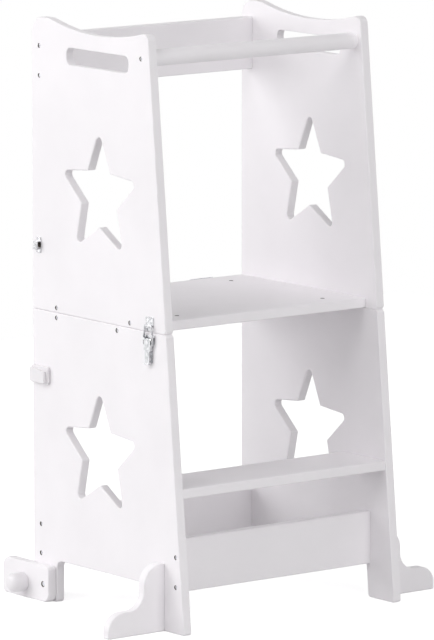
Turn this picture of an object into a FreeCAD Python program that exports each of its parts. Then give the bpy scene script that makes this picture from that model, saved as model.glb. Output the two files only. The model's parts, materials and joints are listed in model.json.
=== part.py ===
import FreeCAD, Part
import math
import os

import Sketcher
from FreeCAD import Placement, Rotation, Vector

# Toddler kitchen helper stool of painted boards, which folds into a table with a bench.
# The upper half stands on the lower half. Two toggle latches hold it there, and two butt
# hinges at the back let it fold over and down behind the lower half.
# Frame: +Z up, the front faces -Y, the origin is on the floor under the middle of the box.
# Distances "from the rear" are measured forwards from the rear edges of the side panels.
# The right-hand pieces (+X) are modelled, and the left-hand ones are their mirror images.

doc = FreeCAD.newDocument("kitchen_helper_stool")
sheet = doc.addObject("Spreadsheet::Sheet", "Sizes")

SIZES = (
    # whole body
    ("total_height", 900, "height over the peaks of the side panels"),
    ("body_width", 420, "width over the two side panels"),
    ("board", 15, "thickness of every board"),
    ("seam", 0.4, "gap between the two halves where they meet"),
    ("edge_break", 1.5, "chamfer on the long edges of the cross boards"),
    ("floor_depth", 382, "depth of a side panel at the floor"),
    ("top_depth", 294, "depth of a side panel at its top"),
    # side panels
    ("rear_peak_round", 26, "rounding of the rear peak"),
    ("front_peak_round", 12, "rounding of the front peak"),
    ("dip_radius", 480, "radius of the hollow top edge"),
    ("dip_depth", 17, "how far the top edge dips under the peaks"),
    ("dip_from_rear", 170, "lowest place of the top edge, from the rear"),
    ("dip_blend", 80, "rounding where the hollow meets the rear peak"),
    ("split_round", 6, "rounding of the front corners at the split"),
    ("slot_length", 156, "length of a carrying slot"),
    ("slot_height", 26, "height of a carrying slot"),
    ("slot_round", 10, "corner radius of a carrying slot"),
    ("slot_from_rear", 167, "centre of a carrying slot, from the rear"),
    ("slot_below_top", 54, "centre of a carrying slot, below the peaks"),
    ("star_outer", 100, "radius to the sharp star points"),
    ("star_inner", 46, "radius to the sharp star notches"),
    ("star_tip_round", 6.5, "rounding of the star points"),
    ("star_from_rear", 171, "centre of a star, from the rear"),
    ("upper_star_above_split", 190, "centre of the upper star above the split"),
    ("lower_star_height", 245, "centre of the lower star above the floor"),
    ("arch_height", 65, "height of the arch between the legs"),
    ("arch_round", 12, "rounding of the arch corners"),
    ("rear_leg", 60, "width of a rear leg"),
    ("front_leg", 63.5, "width of a front leg"),
    ("leg_break", 3, "chamfer on the leg corners at the floor"),
    # cross boards
    ("upper_platform_depth", 310, "depth of the upper platform board"),
    ("lower_platform_depth", 278, "depth of the lower platform board"),
    ("rail_height", 82, "height of the rails and the apron"),
    ("rail_inset", 12.5, "rear rails stand this far in from the rear edges"),
    ("top_rail_below_top", 67, "centre of the top rail, below the peaks"),
    ("low_rail_height", 94, "centre of the low rail and the apron above the floor"),
    ("apron_from_rear", 323.5, "front face of the apron, from the rear"),
    ("step_height", 218.5, "top of the step above the floor"),
    ("step_depth", 107, "depth of the step"),
    ("step_inset", 1.2, "step stands this far behind the front edges"),
    ("bar_diameter", 25, "diameter of the grab bar"),
    ("bar_from_rear", 277, "axis of the grab bar, from the rear"),
    ("bar_below_top", 41.5, "axis of the grab bar, below the peaks"),
    # splay feet
    ("foot_from_rear", 333.4, "front face of a splay foot, from the rear"),
    ("foot_reach", 105, "how far a splay foot stands out"),
    ("foot_height", 104, "height of a splay foot at the panel"),
    ("foot_knee", 38, "how far out the foot drops to its toe"),
    ("foot_toe", 38, "height of the toe"),
    ("foot_shoulder_round", 30, "rounding of the shoulder"),
    ("foot_instep_round", 27, "rounding of the instep"),
    ("foot_toe_round", 28, "rounding of the toe"),
    # stabiliser arms
    ("arm_reach_back", 61, "how far an arm reaches behind the rear edges"),
    ("arm_reach_front", 59.5, "front end of an arm, from the rear"),
    ("arm_height", 57, "height of an arm"),
    ("arm_gap", 0.3, "running gap between an arm and the panel"),
    ("arm_tail_round", 16, "rounding of the upper rear corner of an arm"),
    ("arm_nose_round", 14, "rounding of the lower front corner of an arm"),
    ("arm_corner_round", 7, "rounding of the other corners of an arm"),
    ("pivot_from_rear", 45, "pivot of an arm, from the rear"),
    ("pivot_height", 28, "pivot of an arm above the floor"),
    ("pivot_shank", 6, "diameter of the pivot screw"),
    ("pivot_head", 9, "head diameter of the pivot screw"),
    ("pivot_sink", 3, "head depth of the pivot screw"),
    ("pivot_bite", 13, "how deep the pivot screw goes into the panel"),
    ("knob_diameter", 30, "diameter of the knob"),
    ("knob_length", 27, "length of the knob"),
    ("knob_back", 7, "axis of the knob behind the rear edges"),
    ("knob_height", 24, "axis of the knob above the floor"),
    ("knob_break", 5, "chamfer on the outer end of the knob"),
    ("knob_hole", 14, "depth of the screw hole in the knob"),
    # screws and dowels
    ("sides", 8, "flat sides that stand for the round of a screw, pin or dowel"),
    ("fit", 0.05, "radial clearance of screws, dowels and pins"),
    ("screw_head", 7.4, "head diameter of a panel screw"),
    ("screw_sink", 3, "head depth of a panel screw"),
    ("screw_shank", 4.4, "shank diameter of a panel screw"),
    ("screw_length", 48, "length of a panel screw"),
    ("screw_socket", 3.4, "hexagon socket of a panel screw, across flats"),
    ("short_length", 12, "length of a short screw in one board"),
    ("screw_recess", 0.8, "how far a screw head lies under the paint"),
    ("rail_screw_pitch", 45.5, "distance between the two screws in a rail end"),
    ("platform_screw_inset", 62, "platform screws, from its front and rear edges"),
    ("cap_screw_inset", 11.8, "short screws in a front leg, behind its front edge"),
    ("top_screw_side", 140, "screws in the platform top, from the middle"),
    ("top_screw_rear", 45, "rear screws in the platform top, from the rear"),
    ("top_screw_front", 273, "front screws in the platform top, from the rear"),
    ("dowel_diameter", 8, "diameter of a dowel"),
    ("dowel_length", 32, "length of a dowel"),
    ("dowel_in_panel", 11, "how deep a dowel sits in the side panel"),
    ("step_dowel_inset", 27, "step dowels, from its front and rear edges"),
    ("foot_dowel_height", 22, "lower foot dowel above the floor"),
    ("foot_dowel_pitch", 66, "upper foot dowel above the lower one"),
    ("small_head", 5, "head diameter of a hardware screw"),
    ("small_recess", 0.1, "how far a hardware screw head lies under the sheet"),
    ("small_sink", 1.1, "head depth of a hardware screw"),
    ("small_shank", 2.6, "shank diameter of a hardware screw"),
    ("small_length", 13, "length of a hardware screw"),
    # butt hinges
    ("hinge_side", 116, "middle of a hinge, from the middle of the stool"),
    ("hinge_width", 46, "width of a hinge"),
    ("hinge_back", 3, "hinge axis behind the rear edges"),
    ("hinge_barrel", 5.6, "diameter of the hinge barrel"),
    ("hinge_pin", 2.4, "diameter of the hinge pin"),
    ("hinge_leaf", 1.2, "thickness of a leaf"),
    ("hinge_reach", 16, "how far a leaf reaches from the axis"),
    ("hinge_clear", 0.4, "gap between a leaf and the other leaf's knuckles"),
    ("hinge_slit", 0.2, "gap between two knuckles"),
    ("hinge_screw_side", 14, "hinge screws, from the middle of the hinge"),
    ("hinge_screw_reach", 8, "hinge screws, from the hinge axis"),
    # toggle latches
    ("latch_from_rear", 299, "middle line of a latch, from the rear"),
    ("steel", 1.2, "thickness of the latch sheet"),
    ("latch_width", 25, "width of the latch base at its ears"),
    ("latch_base_below_split", 46, "bottom of the latch base, below the split"),
    ("latch_edge", 2.4, "sheet of the latch base above and below its ears"),
    ("latch_flare", 9, "height over which the latch base widens"),
    ("latch_axis_below_split", 10, "lever axis, below the split"),
    ("latch_axis_out", 3.9, "lever axis out from the panel"),
    ("latch_neck_width", 14, "width of the latch base under the lever"),
    ("latch_ear_side", 8.2, "inner face of an ear, from the middle line"),
    ("latch_ear_radius", 2.8, "radius of an ear round the lever axis"),
    ("latch_pin", 2, "diameter of the lever pin"),
    ("lever_side", 7.8, "outer face of a lever cheek, from the middle line"),
    ("lever_hub", 2.4, "radius of a lever cheek round its axis"),
    ("lever_body", 17, "length of the wide part of the lever, below its axis"),
    ("lever_tail", 38, "length of the whole lever, below its axis"),
    ("lever_tail_width", 11, "width of the lever tail"),
    ("link_throw", 8, "link pin below the lever axis"),
    ("link_pin", 1.8, "diameter of the link pin"),
    ("link_side", 10, "inner face of a link arm, from the middle line"),
    ("link_arm", 1.4, "thickness of a link arm"),
    ("link_half_width", 1.5, "half the thickness of the link"),
    ("link_top_side", 7, "inner face of a link arm at the cross bar, from the middle line"),
    ("link_top_above_split", 11.4, "top of the link, above the split"),
    ("link_bar", 2.6, "height of the cross bar of the link"),
    ("keeper_above_split", 2, "bottom of the keeper, above the split"),
    ("keeper_height", 21.5, "height of the keeper plate"),
    ("keeper_width", 19, "width of the keeper"),
    ("keeper_tongue", 12, "width of the tongue of the keeper"),
    ("tongue_out", 5.6, "how far the tongue stands out"),
    ("tongue_gap", 0.3, "gap between the tongue and the link bar"),
    ("keeper_screw_side", 5.2, "keeper screws, from the middle line"),
    ("keeper_screw_below_top", 5.2, "keeper screws, below the top of the keeper"),
    ("latch_screw_pitch", 13, "distance between the two latch base screws"),
    ("latch_screw_height", 5.5, "lower latch base screw above the end of the base"),
    # slide bolts and their strikes
    ("bolt_below_split", 100, "middle of a slide bolt, below the split"),
    ("housing_from_rear", 3, "rear end of the bolt housing, from the rear"),
    ("housing_length", 42, "length of the bolt housing"),
    ("housing_height", 28, "height of the bolt housing"),
    ("housing_out", 5.5, "thickness of the bolt housing"),
    ("housing_tail_round", 4, "rounding of the rear corners of the housing"),
    ("housing_nose_break", 3, "chamfer on the front corners of the housing"),
    ("bolt_from_rear", 0.5, "rear end of the bolt, from the rear"),
    ("bolt_height", 8, "height of the bolt"),
    ("bolt_thick", 3, "thickness of the bolt"),
    ("bolt_out", 1.5, "inner face of the bolt, out from the panel"),
    ("bolt_length", 37.5, "length of the bolt"),
    ("bolt_travel", 24, "travel of the bolt"),
    ("bolt_gap", 0.25, "running gap round the bolt"),
    ("bolt_break", 1, "chamfer on the corners of the bolt"),
    ("neck_length", 5, "length of the neck between the bolt and its grip"),
    ("neck_height", 5, "height of that neck"),
    ("grip_from_rear", 5.6, "rear end of the grip, from the rear"),
    ("grip_length", 36, "length of the grip"),
    ("grip_height", 22, "height of the grip at its rear"),
    ("grip_fall", 4, "how much lower the grip is at its front"),
    ("grip_out", 10.5, "outer face of the grip, out from the panel"),
    ("grip_break", 2, "chamfer on the corners of the grip"),
    ("strike_from_rear", 13, "rear end of the strike, from the rear"),
    ("strike_length", 10.5, "length of the strike"),
    ("strike_height", 24, "height of the strike over its two feet"),
    ("strike_sheet", 1.5, "thickness of the strike sheet"),
    ("staple_gap", 1, "gap over and under the bolt in the strike"),
    ("strike_room", 6.5, "inner face of the strike bridge, out from the panel"),
    ("mortise_depth", 8, "depth of the mortise in the panel behind the strike"),
    ("strike_screw_pitch", 18.5, "distance between the strike screws"),
    ("housing_screw_pitch", 13, "distance between the housing screws"),
    ("housing_screw_from_rear", 24, "housing screws, from the rear"),
    ("housing_screw_length", 17, "length of a housing screw"),
)

for row, (alias, value, note) in enumerate(SIZES, start=1):
    sheet.set(f"A{row}", note)
    sheet.set(f"B{row}", str(value))
    sheet.setAlias(f"B{row}", alias)
doc.recompute()


def number(expression):
    """The value of an expression over the sheet, in millimetres or degrees."""
    return float(sheet.evalExpression(expression))


def size(alias):
    return number(f"Sizes.{alias}")


# ---------------------------------------------------------------- places, as expressions

SPLIT = "Sizes.total_height / 2"
REAR = "(Sizes.floor_depth - Sizes.arm_reach_back) / 2"
UPPER_BOTTOM = f"({SPLIT} + Sizes.seam / 2)"
LOWER_TOP = f"({SPLIT} - Sizes.seam / 2)"
OUTER = "Sizes.body_width / 2"
INNER = "(Sizes.body_width / 2 - Sizes.board)"
TOP_RAIL = "(Sizes.total_height - Sizes.top_rail_below_top)"
BAR_HEIGHT = "(Sizes.total_height - Sizes.bar_below_top)"


def forward(distance):
    """The y of a place that lies this far in front of the rear edges."""
    return f"({REAR} - ({distance}))"


def out(distance):
    """The x of a place that lies this far out of the right-hand panel."""
    return f"({OUTER} + ({distance}))"


def front_depth(height):
    """Depth of a side panel at a height: its front edge leans back."""
    return f"(Sizes.floor_depth - (Sizes.floor_depth - Sizes.top_depth) * ({height}) / Sizes.total_height)"


# ---------------------------------------------------------------- sketches and bodies


def bind(item, **expressions):
    """Ties properties of an object to the sheet; a double underscore stands for a dot."""
    for name, expression in expressions.items():
        item.setExpression(name.replace("__", "."), expression)
    return item


def place(item, x="0", y="0", z="0"):
    """Ties the place of an object to the sheet."""
    return bind(item, Placement__Base__x=x, Placement__Base__y=y, Placement__Base__z=z)


def new_body(name):
    body = doc.addObject("PartDesign::Body", name)
    body.Label = name
    return body


def new_sketch(body, plane_role, name):
    plane = next(item for item in body.Origin.OriginFeatures if item.Role == plane_role)
    sketch = body.newObject("Sketcher::SketchObject", name)
    sketch.AttachmentSupport = [(plane, "")]
    sketch.MapMode = "FlatFace"
    return sketch


def fix_point(sketch, geometry, end, across, up):
    """Holds a point of the sketch at two distances from its origin, tied to the sheet."""
    for kind, expression in (("DistanceX", across), ("DistanceY", up)):
        rule = Sketcher.Constraint(kind, -1, 1, geometry, end, number(expression))
        index = sketch.addConstraint(rule)
        sketch.setExpression(f"Constraints[{index}]", expression)


def draw_polygon(sketch, corners):
    """Adds a closed outline, with every corner tied to the sheet."""
    points = [Vector(number(across), number(up), 0) for across, up in corners]
    first = sketch.GeometryCount
    count = len(points)
    for index in range(count):
        sketch.addGeometry(Part.LineSegment(points[index], points[(index + 1) % count]))
    for index in range(count):
        following = first + (index + 1) % count
        sketch.addConstraint(Sketcher.Constraint("Coincident", first + index, 2, following, 1))
    for index, (across, up) in enumerate(corners):
        fix_point(sketch, first + index, 1, across, up)


def draw_circle(sketch, across, up, radius):
    """Adds a circle, with its centre and radius tied to the sheet."""
    centre = Vector(number(across), number(up), 0)
    geometry = sketch.addGeometry(Part.Circle(centre, Vector(0, 0, 1), number(radius)))
    fix_point(sketch, geometry, 3, across, up)
    index = sketch.addConstraint(Sketcher.Constraint("Radius", geometry, number(radius)))
    sketch.setExpression(f"Constraints[{index}]", radius)


def pad(body, sketch, length):
    feature = body.newObject("PartDesign::Pad", body.Name + "_pad")
    feature.Profile = sketch
    bind(feature, Length=length)
    doc.recompute()
    return feature


def pocket_through(body, sketch):
    """Cuts a sketch through the whole board, both ways."""
    before = body.Shape.Volume
    feature = body.newObject("PartDesign::Pocket", body.Name + "_pocket")
    feature.Profile = sketch
    feature.Type = "ThroughAll"
    feature.Midplane = True
    doc.recompute()
    if feature.Shape.Volume > before - 1:
        raise RuntimeError(f"{body.Name}: the pocket cut nothing")
    return feature


def edge_names(feature, wanted):
    return [f"Edge{i}" for i, edge in enumerate(feature.Shape.Edges, start=1) if wanted(edge)]


def is_across(edge, axis):
    """True for a straight edge that runs along the thickness of the board."""
    if not isinstance(edge.Curve, Part.Line):
        return False
    return abs(edge.tangentAt(edge.FirstParameter).dot(axis)) > 0.999


def dress(kind, body, base, names, width):
    """Adds a fillet or a chamfer on named edges, with its width tied to the sheet."""
    feature = body.newObject(f"PartDesign::{kind}", f"{body.Name}_{kind.lower()}")
    feature.Base = (base, names)
    bind(feature, **{"Radius" if kind == "Fillet" else "Size": width})
    doc.recompute()
    if "Invalid" in feature.State or "Error" in feature.State:
        raise RuntimeError(f"{body.Name}: a {kind.lower()} of {width} failed")
    return feature


def round_corners(body, base, axis, corners, radius, kind="Fillet"):
    """Rounds or chamfers the edges across the board at the given sketch corners."""
    places = [(number(across), number(up)) for across, up in corners]

    def wanted(edge):
        if not is_across(edge, axis):
            return False
        middle = edge.CenterOfMass
        across, up = (middle.y, middle.z) if axis.x else (middle.x, middle.z)
        return any(math.hypot(across - a, up - b) < 0.01 for a, b in places)

    return dress(kind, body, base, edge_names(base, wanted), radius)


# ---------------------------------------------------------------- solids from primitives


def box(name, low, high):
    """A block between two corners, which are given as expressions."""
    item = doc.addObject("Part::Box", name)
    place(item, *low)
    spans = [f"({b}) - ({a})" for a, b in zip(low, high)]
    return bind(item, Length=spans[0], Width=spans[1], Height=spans[2])


def rod(name, axis, start, diameter, length):
    """A cylinder that starts at a place and runs along +X or +Y."""
    item = doc.addObject("Part::Cylinder", name)
    item.Placement = Placement(Vector(), Rotation(Vector(0, 0, 1), axis))
    place(item, *start)
    return bind(item, Radius=f"({diameter}) / 2", Height=length)


def prism(name, axis, start, diameter, length):
    """A flat-sided rod that starts at a place and runs along +X or +Y, for small hardware."""
    item = doc.addObject("Part::Prism", name)
    item.Placement = Placement(Vector(), Rotation(Vector(0, 0, 1), axis))
    place(item, *start)
    return bind(item, Polygon="Sizes.sides", Circumradius=f"({diameter}) / 2", Height=length)


def clear_of(diameter):
    """Diameter over the corners of a flat-sided bore that a pin can turn in."""
    return f"(({diameter}) + 2 * Sizes.fit) / cos(180 / Sizes.sides)"


def fuse(name, pieces):
    item = doc.addObject("Part::MultiFuse", name)
    item.Shapes = pieces
    item.Refine = True
    return item


def cut(name, base, tools):
    item = doc.addObject("Part::Cut", name)
    item.Base = base
    item.Tool = tools[0] if len(tools) == 1 else fuse(name + "_tools", tools)
    return item


ALONG_X = Vector(1, 0, 0)
ALONG_Y = Vector(0, 1, 0)
NODES = {}


def node(name, item):
    """Keeps a finished sub-part under the name of its file."""
    item.Label = name
    NODES[name] = item
    return item


def mirrored(name, item):
    """The left-hand twin of a right-hand piece."""
    twin = doc.addObject("Part::Mirroring", name)
    twin.Source = item
    twin.Base = Vector(0, 0, 0)
    twin.Normal = Vector(1, 0, 0)
    return node(name, twin)


def pair(stem, item):
    node(stem + "_right", item)
    mirrored(stem + "_left", item)


# ---------------------------------------------------------------- screws and dowels


def faceted(profile):
    """A flat-sided solid about Z from (radius, z) points that start and end on the axis."""
    sides = int(size("sides"))
    turns = [2 * math.pi * k / sides for k in range(sides)]
    rings = [[Vector(r * math.cos(t), r * math.sin(t), z) for t in turns] for r, z in profile]
    faces = []
    for lower, upper in zip(rings, rings[1:]):
        for k in range(sides):
            corners = []
            for point in (lower[k], lower[k - 1], upper[k - 1], upper[k]):
                if not any(point.isEqual(other, 1e-7) for other in corners):
                    corners.append(point)
            faces.append(Part.Face(Part.makePolygon(corners + corners[:1])))
    return Part.Solid(Part.Shell(faces)).removeSplitter()


def turned(profile):
    """A round solid about Z from (radius, z) points that start and end on the axis."""
    points = [Vector(r, 0, z) for r, z in profile]
    return Part.Face(Part.makePolygon(points + points[:1])).revolve(Vector(), Vector(0, 0, 1), 360)


def screw_shape(head, sink, shank, length, socket=0.0, grow=0.0, turns=False):
    """A countersunk screw that points down, or with grow the bore that it needs."""
    recess = size("screw_recess" if socket else "small_recess")
    slim = grow / math.cos(math.pi / size("sides"))
    head_r = head / 2 + slim
    shank_r = shank / 2 + slim
    if grow and turns:
        head_r = (head / 2 + grow) / math.cos(math.pi / size("sides"))
        shank_r = (shank / 2 + grow) / math.cos(math.pi / size("sides"))
    tip = -length - grow
    top = 0.1 if grow else -recess
    profile = [(0, top), (head_r, top)]
    if grow:
        profile.append((head_r, -recess))
    profile += [(shank_r, -recess - sink), (shank_r, tip + shank_r / 2), (0, tip)]
    solid = turned(profile) if turns and not grow else faceted(profile)
    if grow or not socket:
        return solid
    corner = socket / math.sqrt(3)
    ring = [Vector(corner * math.cos(math.pi * k / 3), corner * math.sin(math.pi * k / 3), 0) for k in range(7)]
    recess_tool = Part.Face(Part.makePolygon(ring)).extrude(Vector(0, 0, -sink * 0.7 - recess))
    return solid.cut(recess_tool)


PANEL_SCREW = ("screw_head", "screw_sink", "screw_shank", "screw_length", "screw_socket")
SHORT_SCREW = ("screw_head", "screw_sink", "screw_shank", "short_length", "screw_socket")
SMALL_SCREW = ("small_head", "small_sink", "small_shank", "small_length")


def placed(shape, spot, direction):
    copy = shape.copy()
    copy.Placement = Placement(spot, Rotation(Vector(0, 0, -1), direction))
    return copy


def flip_x(vector):
    return Vector(-vector.x, vector.y, vector.z)


def solid_group(name, shapes):
    item = doc.addObject("Part::Feature", name)
    item.Shape = Part.makeCompound(shapes)
    return item


def fasteners(name, kind, spots, direction, both_sides=True):
    """A node of equal screws, and the bores for them on the right and on both sides."""
    values = [size(alias) for alias in kind]
    direction = Vector(*direction)
    points = [Vector(*[number(part) for part in spot]) for spot in spots]
    ways = [(point, direction) for point in points]
    twins = [(flip_x(point), flip_x(direction)) for point in points]
    everywhere = ways + twins if both_sides else ways
    screw = screw_shape(*values)
    bore = screw_shape(*values, grow=size("fit"))
    node(name, solid_group(name, [placed(screw, point, way) for point, way in everywhere]))
    right = solid_group(name + "_bores_right", [placed(bore, point, way) for point, way in ways])
    whole = solid_group(name + "_bores", [placed(bore, point, way) for point, way in everywhere])
    return right, whole


def dowels(name, spots, inner_end):
    """A node of dowels along X; inner_end is the x of the end nearer the middle."""
    radius = size("dowel_diameter") / 2
    length = size("dowel_length")
    fit = size("fit")
    start = number(inner_end)
    wide = radius + fit / math.cos(math.pi / size("sides"))
    peg = faceted([(0, 0), (radius, 0), (radius, -length), (0, -length)])
    bore = faceted([(0, fit), (wide, fit), (wide, -length - fit), (0, -length - fit)])
    places = [Vector(start, number(y), number(z)) for y, z in spots]
    pegs = [placed(peg, spot, ALONG_X) for spot in places]
    bores = [placed(bore, spot, ALONG_X) for spot in places]
    plane = (Vector(), Vector(1, 0, 0))
    node(name, solid_group(name, pegs + [peg.mirror(*plane) for peg in pegs]))
    right = solid_group(name + "_bores_right", bores)
    whole = solid_group(name + "_bores", bores + [bore.mirror(*plane) for bore in bores])
    return right, whole


def rail_heights(centre):
    return [f"{centre} - Sizes.rail_screw_pitch / 2", f"{centre} + Sizes.rail_screw_pitch / 2"]


RAIL_LINE = forward("Sizes.rail_inset + Sizes.board / 2")
BAR_LINE = forward("Sizes.bar_from_rear")
APRON_LINE = forward("Sizes.apron_from_rear - Sizes.board / 2")
FOOT_LINE = forward("Sizes.foot_from_rear - Sizes.board / 2")
STEP_FRONT = f"({front_depth('Sizes.step_height')} - Sizes.step_inset)"
STEP_REAR = f"({STEP_FRONT} - Sizes.step_depth)"
STEP_MIDDLE = "Sizes.step_height - Sizes.board / 2"
UPPER_MIDDLE = f"{UPPER_BOTTOM} + Sizes.board / 2"
LOWER_MIDDLE = f"{LOWER_TOP} - Sizes.board / 2"

upper_spots = [(OUTER, RAIL_LINE, z) for z in rail_heights(TOP_RAIL)]
upper_spots += [(OUTER, BAR_LINE, BAR_HEIGHT)]
upper_spots += [
    (OUTER, forward("Sizes.platform_screw_inset"), UPPER_MIDDLE),
    (OUTER, forward("Sizes.upper_platform_depth - Sizes.platform_screw_inset"), UPPER_MIDDLE),
]
upper_bores_right, upper_bores = fasteners("upper_panel_screws", PANEL_SCREW, upper_spots, (-1, 0, 0))

lower_spots = [(OUTER, RAIL_LINE, z) for z in rail_heights("Sizes.low_rail_height")]
lower_spots += [
    (OUTER, forward("Sizes.platform_screw_inset"), LOWER_MIDDLE),
    (OUTER, forward("Sizes.lower_platform_depth - Sizes.platform_screw_inset"), LOWER_MIDDLE),
]
lower_bores_right, lower_bores = fasteners("lower_panel_screws", PANEL_SCREW, lower_spots, (-1, 0, 0))

cap_spots = [
    (OUTER, forward(f"{front_depth('Sizes.low_rail_height')} - Sizes.cap_screw_inset"), z)
    for z in rail_heights("Sizes.low_rail_height")
]
cap_bores_right, cap_bores = fasteners("front_leg_screws", SHORT_SCREW, cap_spots, (-1, 0, 0))

top_spots = [
    ("Sizes.top_screw_side", forward(f"Sizes.{line}"), f"{UPPER_BOTTOM} + Sizes.board")
    for line in ("top_screw_rear", "top_screw_front")
]
top_bores_right, top_bores = fasteners("platform_top_screws", SHORT_SCREW, top_spots, (0, 0, -1))

step_dowel_spots = [
    (forward(f"{STEP_FRONT} - Sizes.step_dowel_inset"), STEP_MIDDLE),
    (forward(f"{STEP_REAR} + Sizes.step_dowel_inset"), STEP_MIDDLE),
]
DOWEL_INNER = f"({INNER} + Sizes.dowel_in_panel - Sizes.dowel_length)"
step_bores_right, step_bores = dowels("step_dowels", step_dowel_spots, DOWEL_INNER)

apron_dowel_spots = [(APRON_LINE, z) for z in rail_heights("Sizes.low_rail_height")]
apron_bores_right, apron_bores = dowels("apron_dowels", apron_dowel_spots, DOWEL_INNER)

foot_dowel_spots = [
    (FOOT_LINE, "Sizes.foot_dowel_height"),
    (FOOT_LINE, "Sizes.foot_dowel_height + Sizes.foot_dowel_pitch"),
]
FOOT_DOWEL_INNER = f"({OUTER} - Sizes.dowel_in_panel)"
foot_bores_right, foot_bores = dowels("foot_dowels", foot_dowel_spots, FOOT_DOWEL_INNER)


# ---------------------------------------------------------------- hardware screws

latch_line = forward("Sizes.latch_from_rear")
LATCH_LOW = f"({SPLIT} - Sizes.latch_base_below_split)"
FIRST_SCREW = f"{LATCH_LOW} + Sizes.latch_screw_height"
latch_spots = [
    (out("Sizes.steel"), latch_line, FIRST_SCREW),
    (out("Sizes.steel"), latch_line, f"{FIRST_SCREW} + Sizes.latch_screw_pitch"),
]
latch_bores_right, latch_bores = fasteners("latch_base_screws", SMALL_SCREW, latch_spots, (-1, 0, 0))

KEEPER_LOW = f"({SPLIT} + Sizes.keeper_above_split)"
KEEPER_HIGH = f"({KEEPER_LOW} + Sizes.keeper_height)"
keeper_spots = [
    (out("Sizes.steel"), f"{latch_line} {sign} Sizes.keeper_screw_side", f"{KEEPER_HIGH} - Sizes.keeper_screw_below_top")
    for sign in "-+"
]
keeper_bores_right, keeper_bores = fasteners("latch_keeper_screws", SMALL_SCREW, keeper_spots, (-1, 0, 0))

STRIKE_HEIGHT = f"({SPLIT} + Sizes.bolt_below_split)"
BOLT_HEIGHT = f"({SPLIT} - Sizes.bolt_below_split)"
STRIKE_MIDDLE = forward("Sizes.strike_from_rear + Sizes.strike_length / 2")
strike_spots = [
    (out("Sizes.strike_sheet"), STRIKE_MIDDLE, f"{STRIKE_HEIGHT} {sign} Sizes.strike_screw_pitch / 2")
    for sign in "-+"
]
strike_bores_right, strike_bores = fasteners("strike_screws", SMALL_SCREW, strike_spots, (-1, 0, 0))

housing_spots = [
    (
        out("Sizes.housing_out"),
        forward("Sizes.housing_screw_from_rear"),
        f"{BOLT_HEIGHT} {sign} Sizes.housing_screw_pitch / 2",
    )
    for sign in "-+"
]
HOUSING_SCREW = ("small_head", "small_sink", "small_shank", "housing_screw_length")


# ---------------------------------------------------------------- side panels


def star_corners(height):
    """Ten corners of an upright five-pointed star."""
    corners = []
    for index in range(10):
        radius = "Sizes.star_outer" if index % 2 == 0 else "Sizes.star_inner"
        turn = 90 + 36 * index
        across = f"{forward('Sizes.star_from_rear')} + {radius} * cos({turn})"
        up = f"{height} + {radius} * sin({turn})"
        corners.append((across, up))
    return corners


def slot_corners():
    """Four corners of the carrying slot."""
    half_length = "Sizes.slot_length / 2"
    half_height = "Sizes.slot_height / 2"
    middle = forward("Sizes.slot_from_rear")
    height = "Sizes.total_height - Sizes.slot_below_top"
    return [
        (f"{middle} {a} {half_length}", f"{height} {b} {half_height}") for a, b in ("--", "+-", "++", "-+")
    ]


def upper_panel():
    """Upper side panel: star, carrying slot and a hollow top edge between two peaks."""
    body = new_body("upper_side_body")
    sketch = new_sketch(body, "YZ_Plane", "upper_side_outline")
    top = "Sizes.total_height"
    front_corner = (forward(front_depth(UPPER_BOTTOM)), UPPER_BOTTOM)
    star = star_corners(f"{SPLIT} + Sizes.upper_star_above_split")
    slot = slot_corners()
    draw_polygon(
        sketch,
        [
            (forward("0"), UPPER_BOTTOM),
            front_corner,
            (forward("Sizes.top_depth"), top),
            (forward("0"), top),
        ],
    )
    draw_polygon(sketch, star)
    draw_polygon(sketch, slot)
    feature = pad(body, sketch, "Sizes.board")

    hollow = new_sketch(body, "YZ_Plane", "upper_side_hollow")
    centre_height = f"{top} - Sizes.dip_depth + Sizes.dip_radius"
    draw_circle(hollow, forward("Sizes.dip_from_rear"), centre_height, "Sizes.dip_radius")
    feature = pocket_through(body, hollow)

    under_dip = number(f"{top} - Sizes.dip_depth")
    tops = [edge for edge in feature.Shape.Edges if is_across(edge, ALONG_X) and edge.CenterOfMass.z > under_dip]
    tops.sort(key=lambda edge: edge.CenterOfMass.y)
    places = [(str(edge.CenterOfMass.y), str(edge.CenterOfMass.z)) for edge in tops]
    feature = round_corners(body, feature, ALONG_X, places[-1:], "Sizes.rear_peak_round")
    feature = round_corners(body, feature, ALONG_X, places[1:-1], "Sizes.dip_blend")
    feature = round_corners(body, feature, ALONG_X, places[:1], "Sizes.front_peak_round")
    feature = round_corners(body, feature, ALONG_X, [front_corner], "Sizes.split_round")
    feature = round_corners(body, feature, ALONG_X, slot, "Sizes.slot_round")
    round_corners(body, feature, ALONG_X, star[0::2], "Sizes.star_tip_round")
    return place(body, x=INNER)


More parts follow.
